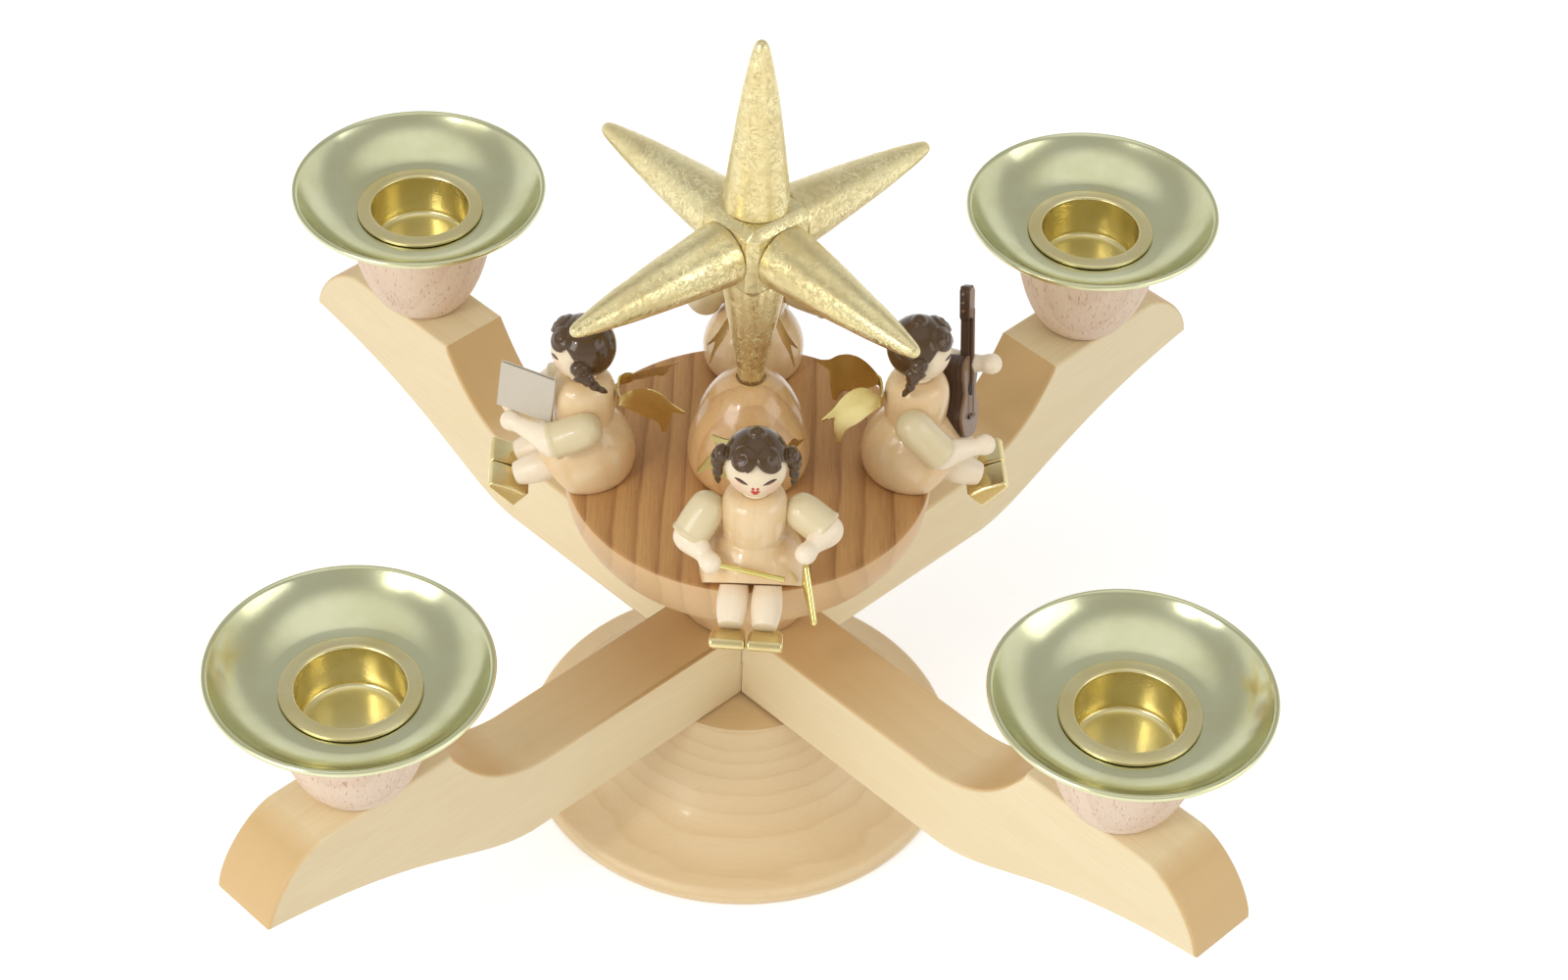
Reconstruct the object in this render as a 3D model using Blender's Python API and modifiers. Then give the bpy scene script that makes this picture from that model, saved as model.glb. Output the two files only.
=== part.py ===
"""Angel candle holder in turned wood: a bell foot carries two crossed bars with four candle cups,
and a round seat where four seated angels look outwards round a dome with a six-pointed star."""

import math

import bmesh
import bpy
from mathutils import Matrix, Vector

# Sizes in metres. Outlines of turned pieces are (radius, height) stations joined by smooth curves.

GAP = 0.0003
CLEAR = 0.0004
MERGE = 0.00001

# Foot
FOOT_RADIUS = 0.0506
FOOT_RIM = 0.0046
FOOT_TOP_RADIUS = 0.0242
FOOT_HEIGHT = 0.0310

# Crossed bars
BAR_WIDTH = 0.0178
BAR_DEPTH = 0.0206
BAR_FLAT = 0.0680
BAR_RIDGE = 0.0945
BAR_SEAT_END = 0.1290
BAR_TIP = 0.1445
SEAT_HEIGHT = 0.0714
TIP_LOW = 0.0548
BAR_EDGE = 0.0008

# Round seat for the angels
DISC_RADIUS = 0.0408
DISC_TOP = 0.0912
DISC_BAND = 0.0150
DISC_NECK_RADIUS = 0.0152

# Dome under the star
DOME_RADIUS = 0.0136
DOME_HEIGHT = 0.0262
DOME_FOOT_RADIUS = 0.0121

# Star
STAR_CENTRE = 0.1560
STAR_REACH = 0.0500
STAR_TURN = math.radians(-2.6)
HUB_HALF = 0.0088
HUB_CUT = 0.0020
SPIKE_RADIUS = 0.0071
SPIKE_TIP = 0.0013
SOCKET_DEPTH = 0.0012

# Candle places
CUP_REACH = 0.1130
CUP_RADIUS = 0.0173
CUP_FOOT_RADIUS = 0.0096
CUP_TOP = 0.0966
TRAY_RADIUS = 0.0300
TRAY_RIM_TOP = 0.1048
TRAY_SHEET = 0.0008
CANDLE_BORE = 0.0114
INSERT_WALL = 0.0006
INSERT_FLANGE = 0.0149
INSERT_FLOOR = 0.0876

# Angels
ANGEL_INSET = 0.0042
BODY_RADIUS = 0.0116
BODY_HEIGHT = 0.0258
BODICE_HEIGHT = 0.0115
BODICE_RADIUS = 0.0072
WAIST_RADIUS = 0.0066
LAP_START = 0.0021
LAP_SLOPE = math.radians(45)
HEAD_RADIUS = 0.0066
HEAD_LONG = 0.0069
CHIN_RISE = 0.0003
HAIR_RADIUS = 0.0070
SLEEVE_RADIUS = 0.0042
HAND_RADIUS = 0.0021
LEG_RADIUS = 0.0034
LEG_SPREAD = 0.0036
SHOE_WIDTH = 0.0076
SOLE_LENGTH = 0.0086
TOE_TILT = math.radians(47)
LEG_SWING = {"front": math.radians(-3), "right": 0.0, "back": 0.0, "left": 0.0}
FIGURE_YAW = {"front": math.radians(-3), "right": 0.0, "back": 0.0, "left": 0.0}
WING_SHEET = 0.0005
WING_ROOT = 0.0040
WING_SPLAY = math.radians(14)
WIRE_RADIUS = 0.0005

# Sizes that follow from the ones above. A unit is the share of a figure's height that is about 1 mm.
BAR_UNDER = FOOT_HEIGHT + GAP
BAR_UPPER = BAR_UNDER + BAR_DEPTH
BAR_MIDDLE = (BAR_UNDER + BAR_UPPER) / 2
DOME_UNDER = DISC_TOP + GAP
CUP_UNDER = SEAT_HEIGHT + GAP
TRAY_UNDER = CUP_TOP + GAP
INSERT_RADIUS = CANDLE_BORE + INSERT_WALL
INSERT_TOP = TRAY_UNDER + TRAY_SHEET + GAP + INSERT_WALL
ANGEL_UNDER = DISC_TOP + GAP
ANGEL_REACH = DISC_RADIUS - ANGEL_INSET
BODY_WAIST = BODY_HEIGHT - BODICE_HEIGHT
HEAD_HEIGHT = BODY_HEIGHT + CHIN_RISE + HEAD_LONG
UNIT = BODY_HEIGHT / 25.8

ROUND_FINE = 34
ROUND_TRAY = 24
ROUND_CUP = 18
ROUND_SMALL = 12
ROUND_LIMB = 8


def clear_scene():
    for thing in list(bpy.data.objects):
        bpy.data.objects.remove(thing, do_unlink=True)


def group(name, shown=True):
    made = bpy.data.collections.new(name)
    bpy.context.scene.collection.children.link(made)
    made.hide_render = not shown
    return made


def tint(red, green, blue):
    """Colour as seen on screen, 0 to 255, turned into light values."""
    out = []
    for part in (red, green, blue):
        value = part / 255
        out.append(value / 12.92 if value <= 0.04045 else ((value + 0.055) / 1.055) ** 2.4)
    return (*out, 1.0)


def finish(name, colour, roughness, metallic=0.0):
    made = bpy.data.materials.new(name)
    made.use_nodes = True
    surface = made.node_tree.nodes["Principled BSDF"]
    surface.inputs["Base Color"].default_value = tint(*colour)
    surface.inputs["Roughness"].default_value = roughness
    surface.inputs["Metallic"].default_value = metallic
    made.diffuse_color = tint(*colour)
    return made


def curve(start, lean, pull, end, count):
    """Points of a smooth curve from start to end, without the last one."""
    points = []
    for step in range(count):
        t = step / count
        a, b, c, d = (1 - t) ** 3, 3 * t * (1 - t) ** 2, 3 * t * t * (1 - t), t ** 3
        points.append(tuple(a * p + b * q + c * r + d * s for p, q, r, s in zip(start, lean, pull, end)))
    return points


def place(name, mesh, look, home, matrix=None):
    made = bpy.data.objects.new(name, mesh)
    home.objects.link(made)
    if look is not None and not mesh.materials:
        mesh.materials.append(look)
    if matrix is not None:
        made.matrix_world = matrix
    return made


def turned(name, outline, steps, look, home, matrix=None, ring=False):
    """A turned piece: its outline, taken from the top down the outer side, swept round the upright axis."""
    mesh = bpy.data.meshes.new(name)
    edges = [(i, i + 1) for i in range(len(outline) - 1)]
    if ring:
        edges.append((len(outline) - 1, 0))
    mesh.from_pydata([(radius, 0.0, height) for radius, height in outline], edges, [])
    made = place(name, mesh, look, home, matrix)
    sweep = made.modifiers.new("sweep", "SCREW")
    sweep.axis = "Z"
    sweep.steps = steps
    sweep.render_steps = steps
    sweep.use_merge_vertices = True
    sweep.merge_threshold = MERGE
    sweep.use_smooth_shade = True
    return made


def shape_of(made):
    """The finished shape of an object, its seams welded; the object itself goes away."""
    bpy.context.view_layer.update()
    graph = bpy.context.evaluated_depsgraph_get()
    mesh = bpy.data.meshes.new_from_object(made.evaluated_get(graph))
    shape = bmesh.new()
    shape.from_mesh(mesh)
    bmesh.ops.transform(shape, matrix=made.matrix_world, verts=shape.verts)
    bmesh.ops.remove_doubles(shape, verts=shape.verts, dist=MERGE / 5)
    bmesh.ops.recalc_face_normals(shape, faces=shape.faces)
    bpy.data.meshes.remove(mesh)
    bpy.data.objects.remove(made, do_unlink=True)
    return shape


def units_to_metres(*units):
    return tuple(unit * UNIT for unit in units)


def scaled(outline):
    return [units_to_metres(*point) for point in outline]


def lathe(outline, steps):
    """The same sweep as a finished shape, for the small pieces that are cut or joined afterwards."""
    return shape_of(turned("turning", outline, steps, None, bpy.context.scene.collection))


def globe(radii, centre, turn=0.0, steps=10, rings=6):
    shape = bmesh.new()
    frame = Matrix.Translation(centre) @ Matrix.Rotation(turn, 4, "Y") @ Matrix.Diagonal((*radii, 1.0))
    bmesh.ops.create_uvsphere(shape, u_segments=steps, v_segments=rings, radius=1.0, matrix=frame)
    return shape


def line(name, points, closed):
    made = bpy.data.curves.new(name, "CURVE")
    made.dimensions = "3D"
    path = made.splines.new("POLY")
    path.points.add(len(points) - 1)
    for knot, point in zip(path.points, points):
        knot.co = (*point, 1.0)
    path.use_cyclic_u = closed
    thing = bpy.data.objects.new(name, made)
    bpy.context.scene.collection.objects.link(thing)
    return thing


def slab(outline, thickness):
    """A flat shape given in x and z, as thick along y as told."""
    flat = line("flat", [(x, z, 0.0) for x, z in outline], closed=True)
    flat.data.dimensions = "2D"
    flat.data.fill_mode = "BOTH"
    flat.data.extrude = thickness / 2
    flat.rotation_euler.x = math.pi / 2
    shape = shape_of(flat)
    bmesh.ops.dissolve_limit(shape, angle_limit=math.radians(0.2), verts=shape.verts, edges=shape.edges)
    return shape


def wire(points, radius, closed=False):
    """A thin round wire bent at the given points."""
    rod = line("wire", points, closed)
    rod.data.bevel_depth = radius
    rod.data.bevel_resolution = 1
    rod.data.use_fill_caps = True
    return shape_of(rod)


def block(size, centre):
    shape = bmesh.new()
    bmesh.ops.create_cube(shape, size=1.0, matrix=Matrix.Translation(centre) @ Matrix.Diagonal((*size, 1.0)))
    return shape


def along(start, end):
    """The frame whose upright axis runs from start to end."""
    way = Vector(end) - Vector(start)
    return Matrix.Translation(start) @ way.to_track_quat("Z", "Y").to_matrix().to_4x4()


def moved(shape, matrix):
    bmesh.ops.transform(shape, matrix=matrix, verts=shape.verts)
    return shape


def baked(name, shape, smooth=True):
    mesh = bpy.data.meshes.new(name)
    shape.to_mesh(mesh)
    shape.free()
    mesh.polygons.foreach_set("use_smooth", [smooth] * len(mesh.polygons))
    return mesh


def helper(name, shape, home):
    made = place(name, baked(name, shape, smooth=False), None, home)
    made.hide_render = True
    made.display_type = "WIRE"
    return made


def cut(piece, tool, operation="DIFFERENCE"):
    made = piece.modifiers.new(operation.lower(), "BOOLEAN")
    made.operation = operation
    made.solver = "EXACT"
    made.object = tool
    return made


def grown(shape, by):
    """The same shape made larger all round, to cut clearance for it."""
    shape.normal_update()
    for vert, normal in [(vert, vert.normal.copy()) for vert in shape.verts]:
        vert.co += normal * by
    return shape


def joined(name, shapes, smooth=True, clear_of=()):
    """One mesh out of shapes that overlap, cut back where it would enter its neighbours."""
    stage = bpy.context.scene.collection
    first = place(name + "_first", baked(name, shapes[0], smooth), None, stage)
    others = []
    for operation, added in (("UNION", shapes[1:]), ("DIFFERENCE", clear_of)):
        for shape in added:
            others.append(place(name + "_more", baked(name, shape, smooth), None, stage))
            cut(first, others[-1], operation)
    bpy.context.view_layer.update()
    result = bmesh.new()
    result.from_object(first, bpy.context.evaluated_depsgraph_get())
    bmesh.ops.remove_doubles(result, verts=result.verts, dist=MERGE / 5)
    bmesh.ops.triangulate(result, faces=result.faces)
    for used in [first, *others]:
        bpy.data.objects.remove(used, do_unlink=True)
    return baked(name, result, smooth)


def trimmed(shape, point, normal):
    """Takes away what lies on the normal's side of the plane, and closes the cut."""
    whole = shape.verts[:] + shape.edges[:] + shape.faces[:]
    cut_through = bmesh.ops.bisect_plane(
        shape, geom=whole, dist=MERGE, plane_co=point, plane_no=normal, clear_outer=True
    )
    rim = [thing for thing in cut_through["geom_cut"] if isinstance(thing, bmesh.types.BMEdge)]
    bmesh.ops.holes_fill(shape, edges=rim)
    bmesh.ops.recalc_face_normals(shape, faces=shape.faces)
    return shape


clear_scene()
model = group("angel_candle_holder")
tools = group("cutters", shown=False)

maple = finish("pale_maple", (226, 204, 168), 0.55)
lime = finish("lime_wood", (232, 212, 176), 0.6)
beech = finish("beech", (172, 130, 100), 0.55)
beech_gloss = finish("lacquered_beech", (205, 165, 115), 0.25)
beech_raw = finish("plain_beech", (224, 192, 168), 0.65)
tray_brass = finish("polished_brass", (204, 200, 142), 0.15, 1.0)
insert_brass = finish("insert_brass", (205, 180, 100), 0.25, 1.0)
gold_leaf = finish("gold_leaf", (205, 172, 98), 0.35, 1.0)
body_wood = finish("clear_lacquered_wood", (230, 196, 150), 0.3)
head_paint = finish("head_and_hair", (78, 62, 46), 0.2)
sleeve_paint = finish("cream_sleeve_and_bare_arm", (230, 214, 180), 0.35)
leg_wood = finish("bare_leg_and_gold_shoe", (232, 210, 178), 0.4)
sheet_gold = finish("gold_sheet", (200, 175, 95), 0.25, 1.0)
walnut = finish("walnut", (92, 64, 44), 0.45)
paper_board = finish("grey_card", (200, 194, 178), 0.7)
gold_wire = finish("gold_wire", (212, 196, 110), 0.2, 1.0)

# Foot

rim_in = FOOT_RADIUS - 0.0014
foot_outline = [(0.0, FOOT_HEIGHT)]
foot_outline += curve(
    (FOOT_TOP_RADIUS, FOOT_HEIGHT),
    (FOOT_TOP_RADIUS + 0.0045, FOOT_HEIGHT - 0.0150),
    (FOOT_RADIUS - 0.0160, FOOT_RIM + 0.0025),
    (rim_in, FOOT_RIM),
    6,
)
foot_outline += [
    (rim_in, FOOT_RIM),
    (FOOT_RADIUS - 0.0003, FOOT_RIM - 0.0013),
    (FOOT_RADIUS, FOOT_RIM / 2 - 0.0003),
    (FOOT_RADIUS - 0.0003, 0.0006),
    (FOOT_RADIUS - 0.0010, 0.0),
    (0.0, 0.0),
]
turned("foot", foot_outline, ROUND_FINE, maple, model)

# Crossed bars: half of the side view, mirrored, then halved into each other at the middle

rise = BAR_RIDGE - BAR_FLAT
drop = BAR_TIP - BAR_SEAT_END
bar_side = [(0.0, BAR_UPPER)]
bar_side += curve(
    (BAR_FLAT, BAR_UPPER),
    (BAR_FLAT + rise * 0.50, BAR_UPPER + 0.0008),
    (BAR_FLAT + rise * 0.78, SEAT_HEIGHT - 0.0100),
    (BAR_RIDGE, SEAT_HEIGHT),
    6,
)
bar_side += [(BAR_RIDGE, SEAT_HEIGHT)]
bar_side += curve(
    (BAR_SEAT_END, SEAT_HEIGHT),
    (BAR_SEAT_END + drop * 0.42, SEAT_HEIGHT - 0.0006),
    (BAR_TIP - 0.0016, SEAT_HEIGHT - 0.0085),
    (BAR_TIP, TIP_LOW + 0.0006),
    5,
)
bar_side += curve(
    (BAR_TIP, TIP_LOW),
    (0.1010, 0.0480),
    (0.0890, 0.0325),
    (0.0720, BAR_UNDER),
    8,
)
bar_side += [(0.0720, BAR_UNDER), (0.0, BAR_UNDER)]

overlap = 0.0100
half_bar = slab([(-overlap, BAR_UPPER), *bar_side[1:-1], (-overlap, BAR_UNDER)], BAR_WIDTH)
bar_mesh = baked("cross_bar", half_bar, smooth=False)

lap = BAR_WIDTH + 2 * GAP
for name, quarter, low, high in (
    ("cross_bar_lower", math.radians(45), BAR_MIDDLE - GAP / 2, BAR_UPPER + 0.01),
    ("cross_bar_upper", math.radians(-45), BAR_UNDER - 0.01, BAR_MIDDLE + GAP / 2),
):
    bar = place(name, bar_mesh, lime, model, Matrix.Rotation(quarter, 4, "Z"))
    twin = bar.modifiers.new("twin_half", "MIRROR")
    twin.use_axis = (True, False, False)
    twin.use_bisect_axis = (True, False, False)
    twin.merge_threshold = MERGE
    soft = bar.modifiers.new("soft_edges", "BEVEL")
    soft.width = BAR_EDGE
    soft.segments = 1
    soft.limit_method = "ANGLE"
    soft.angle_limit = math.radians(50)
    soft.use_clamp_overlap = False
    slot = helper(name + "_lap", block((lap, lap, high - low), (0, 0, (high + low) / 2)), tools)
    slot.matrix_world = Matrix.Rotation(quarter, 4, "Z")
    cut(bar, slot)

# Round seat

disc_outline = [(0.0, DISC_TOP), (DISC_RADIUS - 0.0005, DISC_TOP)]
disc_outline += curve(
    (DISC_RADIUS, DISC_TOP - 0.0005),
    (DISC_RADIUS + 0.0005, DISC_TOP - 0.0060),
    (DISC_RADIUS - 0.0016, DISC_TOP - 0.0110),
    (DISC_RADIUS - 0.0059, DISC_TOP - DISC_BAND),
    4,
)
disc_outline += curve(
    (DISC_RADIUS - 0.0063, DISC_TOP - DISC_BAND),
    (DISC_RADIUS - 0.0140, DISC_TOP - DISC_BAND - 0.0070),
    (DISC_NECK_RADIUS + 0.0030, BAR_UPPER + 0.0070),
    (DISC_NECK_RADIUS, BAR_UPPER + GAP),
    4,
)
disc_outline += [(DISC_NECK_RADIUS, BAR_UPPER + GAP), (0.0, BAR_UPPER + GAP)]
turned("angel_seat_disc", disc_outline, ROUND_FINE, beech, model)

# Dome, with a shallow socket for the star's foot

dome_top = DOME_UNDER + DOME_HEIGHT
dome_belly = DOME_UNDER + 0.0044
socket_radius = 0.0030 + GAP
dome_outline = [(0.0, dome_top - SOCKET_DEPTH), (socket_radius, dome_top - SOCKET_DEPTH)]
dome_outline += [(socket_radius, dome_top - 0.0006)]
dome_outline += curve(
    (socket_radius + 0.0006, dome_top - 0.0006),
    (DOME_RADIUS - 0.0042, dome_top - 0.0030),
    (DOME_RADIUS, dome_belly + 0.0090),
    (DOME_RADIUS, dome_belly),
    6,
)
dome_outline += curve(
    (DOME_RADIUS, dome_belly),
    (DOME_RADIUS, dome_belly - 0.0022),
    (DOME_FOOT_RADIUS + 0.0007, DOME_UNDER + 0.0008),
    (DOME_FOOT_RADIUS, DOME_UNDER),
    3,
)
dome_outline += [(DOME_FOOT_RADIUS, DOME_UNDER), (0.0, DOME_UNDER)]
turned("centre_dome", dome_outline, 20, beech_gloss, model)

# Star: a hub with cut edges and six spikes

star_frame = Matrix.Translation((0, 0, STAR_CENTRE)) @ Matrix.Rotation(math.radians(45) + STAR_TURN, 4, "Z")
hub_shape = block((2 * HUB_HALF, 2 * HUB_HALF, 2 * HUB_HALF), (0, 0, 0))
hub = place("star_hub", baked("star_hub", hub_shape, smooth=False), gold_leaf, model, star_frame)
cut_edges = hub.modifiers.new("cut_edges", "BEVEL")
cut_edges.width = HUB_CUT
cut_edges.segments = 1
cut_edges.limit_method = "NONE"

spike_length = STAR_REACH - HUB_HALF - GAP
spike_outline = [(0.0, spike_length)]
spike_outline += curve(
    (SPIKE_TIP * 0.75, spike_length - 0.0004),
    (SPIKE_TIP * 1.15, spike_length - 0.0010),
    (SPIKE_TIP * 1.35, spike_length - 0.0020),
    (SPIKE_TIP * 1.55, spike_length - 0.0036),
    2,
)
spike_outline += curve(
    (SPIKE_TIP * 1.55, spike_length - 0.0036),
    (SPIKE_TIP * 1.55 + 0.0028, spike_length - 0.0140),
    (SPIKE_RADIUS - 0.0006, 0.0070),
    (SPIKE_RADIUS, 0.0006),
    3,
)
spike_outline += [(SPIKE_RADIUS, 0.0006), (SPIKE_RADIUS - 0.0005, 0.0), (0.0, 0.0)]
down_length = STAR_CENTRE - HUB_HALF - GAP - (dome_top - SOCKET_DEPTH + GAP)
down_outline = [(0.0, down_length), (0.0027, down_length)]
down_outline += curve(
    (0.0028, down_length - 0.0012),
    (0.0040, down_length * 0.66),
    (SPIKE_RADIUS - 0.0006, down_length * 0.26),
    (SPIKE_RADIUS, 0.0006),
    3,
)
down_outline += [(SPIKE_RADIUS, 0.0006), (SPIKE_RADIUS - 0.0005, 0.0), (0.0, 0.0)]

for name, turn, tip in (
    ("star_spike_up", Matrix(), spike_outline),
    ("star_spike_down", Matrix.Rotation(math.pi, 4, "X"), down_outline),
    ("star_spike_back_right", Matrix.Rotation(math.pi / 2, 4, "Y"), spike_outline),
    ("star_spike_front_left", Matrix.Rotation(-math.pi / 2, 4, "Y"), spike_outline),
    ("star_spike_back_left", Matrix.Rotation(-math.pi / 2, 4, "X"), spike_outline),
    ("star_spike_front_right", Matrix.Rotation(math.pi / 2, 4, "X"), spike_outline),
):
    out = turn @ Matrix.Translation((0, 0, HUB_HALF + GAP))
    turned(name, tip, ROUND_SMALL, gold_leaf, model, star_frame @ out)

# Candle cups, drip trays and inserts

insert_under = INSERT_FLOOR - 0.0008
bore = INSERT_RADIUS + GAP
bore_floor = insert_under - GAP
cup_outline = [(bore, bore_floor), (bore, CUP_TOP), (CUP_RADIUS - 0.0008, CUP_TOP)]
cup_outline += curve(
    (CUP_RADIUS, CUP_TOP - 0.0008),
    (CUP_RADIUS - 0.0002, CUP_TOP - 0.0090),
    (CUP_RADIUS - 0.0032, CUP_UNDER + 0.0042),
    (CUP_FOOT_RADIUS, CUP_UNDER),
    4,
)
cup_outline = [(0.0, bore_floor), *cup_outline, (CUP_FOOT_RADIUS, CUP_UNDER), (0.0, CUP_UNDER)]

tray_top = TRAY_UNDER + TRAY_SHEET
tray_upper = [(bore, tray_top)]
tray_upper += curve(
    (0.0178, tray_top + 0.0001),
    (0.0225, tray_top + 0.0008),
    (0.0262, TRAY_RIM_TOP - 0.0036),
    (TRAY_RADIUS - 0.0011, TRAY_RIM_TOP - 0.0002),
    3,
)
tray_outline = tray_upper + [
    (TRAY_RADIUS - 0.0010, TRAY_RIM_TOP),
    (TRAY_RADIUS, TRAY_RIM_TOP - 0.0004),
    (TRAY_RADIUS - 0.0003, TRAY_RIM_TOP - 0.0014),
]
tray_outline += [(radius + 0.0002, height - TRAY_SHEET) for radius, height in tray_upper[:0:-1]]
tray_outline += [(bore, TRAY_UNDER)]

insert_outline = [
    (0.0, INSERT_FLOOR),
    (CANDLE_BORE - 0.0016, INSERT_FLOOR),
    (CANDLE_BORE, INSERT_FLOOR + 0.0013),
    (CANDLE_BORE, INSERT_TOP - 0.0003),
    (CANDLE_BORE + 0.0006, INSERT_TOP + 0.0002),
    (INSERT_FLANGE, INSERT_TOP - 0.0001),
    (INSERT_FLANGE, INSERT_TOP - INSERT_WALL),
    (INSERT_RADIUS, INSERT_TOP - INSERT_WALL),
    (INSERT_RADIUS, insert_under),
    (0.0, insert_under),
]

for corner, bearing in (("front_left", 225), ("front_right", 315), ("back_left", 135), ("back_right", 45)):
    spot = Matrix.Rotation(math.radians(bearing), 4, "Z") @ Matrix.Translation((CUP_REACH, 0, 0))
    turned("candle_cup_" + corner, cup_outline, ROUND_CUP, beech_raw, model, spot)
    turned("drip_tray_" + corner, tray_outline, ROUND_TRAY, tray_brass, model, spot, ring=True)
    turned("candle_insert_" + corner, insert_outline, ROUND_CUP, insert_brass, model, spot)

# Angels. Each is drawn in its own frame: x outwards, the way it looks, y to its left, z up from the seat.

lap_normal = Vector((math.sin(LAP_SLOPE), 0.0, -math.cos(LAP_SLOPE)))


def body_shape():
    """Bodice and skirt in one turning, cut by the slanted plane that makes the lap."""
    outline = [(0.0, BODY_HEIGHT), (0.0034, BODY_HEIGHT)]
    outline += curve(
        (0.0036, BODY_HEIGHT - 0.0003),
        (BODICE_RADIUS - 0.0009, BODY_HEIGHT - 0.0006),
        (BODICE_RADIUS, BODY_HEIGHT - 0.0028),
        (BODICE_RADIUS, BODY_HEIGHT - 0.0060),
        3,
    )
    outline += [(BODICE_RADIUS, BODY_HEIGHT - 0.0060), (BODICE_RADIUS - 0.0002, BODY_WAIST + 0.0016)]
    outline += curve(
        (WAIST_RADIUS, BODY_WAIST),
        (WAIST_RADIUS + 0.0016, BODY_WAIST - 0.0018),
        (BODY_RADIUS - 0.0001, BODY_WAIST - 0.0056),
        (BODY_RADIUS, 0.0044),
        4,
    )
    outline += [(BODY_RADIUS, 0.0044), (BODY_RADIUS - 0.0009, 0.0), (0.0, 0.0)]
    return trimmed(lathe(outline, 14), (LAP_START, 0.0, 0.0), lap_normal)


def head_shapes():
    """A ball with a neck peg, under a cap of hair with a knob, two front curls and a ringlet on each side."""
    chin = HEAD_HEIGHT - HEAD_LONG
    inside, under = chin + 0.0020, BODY_HEIGHT + GAP
    neck = lathe([(0.0, inside), (0.0030, inside), (0.0032, under), (0.0, under)], 8)
    skull = globe((HEAD_RADIUS, HEAD_RADIUS, HEAD_LONG), (0.0002, 0, HEAD_HEIGHT), steps=11, rings=7)
    cap = globe((HAIR_RADIUS, HAIR_RADIUS, HAIR_RADIUS + 0.0002), (0, 0, 0), steps=11, rings=7)
    trimmed(cap, (0.0012, 0, 0), Vector((0.77, 0, -0.64)))
    moved(cap, Matrix.Translation((-0.0004, 0, HEAD_HEIGHT + 0.0009)))
    knob = globe((0.0022, 0.0026, 0.0014), (-0.0006, 0, HEAD_HEIGHT + 0.0081), steps=6, rings=4)
    shapes = [skull, neck, cap, knob]
    for side in (-1, 1):
        brow = (0.0040, side * 0.0029, HEAD_HEIGHT + 0.0044)
        curl = globe((0.0015, 0.0032, 0.0027), brow, -0.75, steps=6, rings=4)
        bun = globe((0.0021, 0.0016, 0.0021), (0.0008, side * 0.0072, HEAD_HEIGHT + 0.0016), steps=6, rings=4)
        tail = lathe([(0.0, 0.0022), (0.0017, 0.0), (0.0014, -0.0034), (0.0, -0.0084)], 5)
        tail_way = Matrix.Rotation(math.radians(30), 4, "Y")
        moved(tail, Matrix.Translation((-0.0006, side * 0.0076, HEAD_HEIGHT - 0.0004)) @ tail_way)
        shapes += [curl, bun, tail]
    return shapes


def arm_shapes(shoulder, elbow, hand):
    """A sleeve from the shoulder to the elbow, and a bare forearm with a round hand."""
    shoulder, elbow, hand = Vector(shoulder), Vector(elbow), Vector(hand)
    reach = (elbow - shoulder).length
    sleeve = lathe(
        [
            (0.0, reach),
            (SLEEVE_RADIUS, reach),
            (SLEEVE_RADIUS, 0.0),
            (SLEEVE_RADIUS * 0.72, -SLEEVE_RADIUS * 0.66),
            (0.0, -SLEEVE_RADIUS * 0.90),
        ],
        9,
    )
    inner = elbow - (hand - elbow).normalized() * 0.0004
    length = (hand - inner).length
    forearm = lathe(
        [
            (0.0, length + HAND_RADIUS),
            (HAND_RADIUS * 0.80, length + HAND_RADIUS * 0.60),
            (HAND_RADIUS, length),
            (HAND_RADIUS * 0.74, length - HAND_RADIUS * 0.90),
            (SLEEVE_RADIUS * 0.84, 0.0004),
            (SLEEVE_RADIUS * 0.60, -0.0022),
            (0.0, -0.0031),
        ],
        8,
    )
    return [moved(sleeve, along(shoulder, elbow)), moved(forearm, along(inner, hand))]


def leg_shapes(side, swing):
    """A barrel-shaped leg cut flush with the lap, with its shoe. Both may swing sideways at the lap."""
    swung = Matrix.Translation((LAP_START, 0, 0)) @ Matrix.Rotation(swing, 4, "Z")
    swung = swung @ Matrix.Translation((-LAP_START, 0, 0))
    hip = Vector((0.0046, side * LEG_SPREAD, 0.0040))
    ankle = Vector((0.0148, side * LEG_SPREAD, -0.0004))
    length = (ankle - hip).length
    barrel = lathe(
        [
            (0.0, length),
            (LEG_RADIUS * 0.74, length),
            (LEG_RADIUS * 0.96, length * 0.72),
            (LEG_RADIUS, length * 0.45),
            (LEG_RADIUS * 0.84, length * 0.16),
            (LEG_RADIUS * 0.70, -0.0020),
            (0.0, -0.0020),
        ],
        ROUND_LIMB,
    )
    moved(barrel, swung @ along(hip, ankle))
    trimmed(barrel, Vector((LAP_START, 0, 0)) + lap_normal * GAP, -lap_normal)
    shoe = slab(
        [
            (0.0, 0.0),
            (SOLE_LENGTH - 0.0008, 0.0),
            (SOLE_LENGTH, 0.0008),
            (SOLE_LENGTH - 0.0001, 0.0018),
            (SOLE_LENGTH * 0.72, 0.0030),
            (SOLE_LENGTH * 0.42, 0.0050),
            (0.0002, 0.0052),
        ],
        SHOE_WIDTH,
    )
    heel = (0.0155, side * (SHOE_WIDTH / 2 + 0.0002), -0.0068)
    heel = swung @ Matrix.Translation(heel) @ Matrix.Rotation(-TOE_TILT, 4, "Y")
    return [barrel, moved(shoe, heel)]


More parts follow.
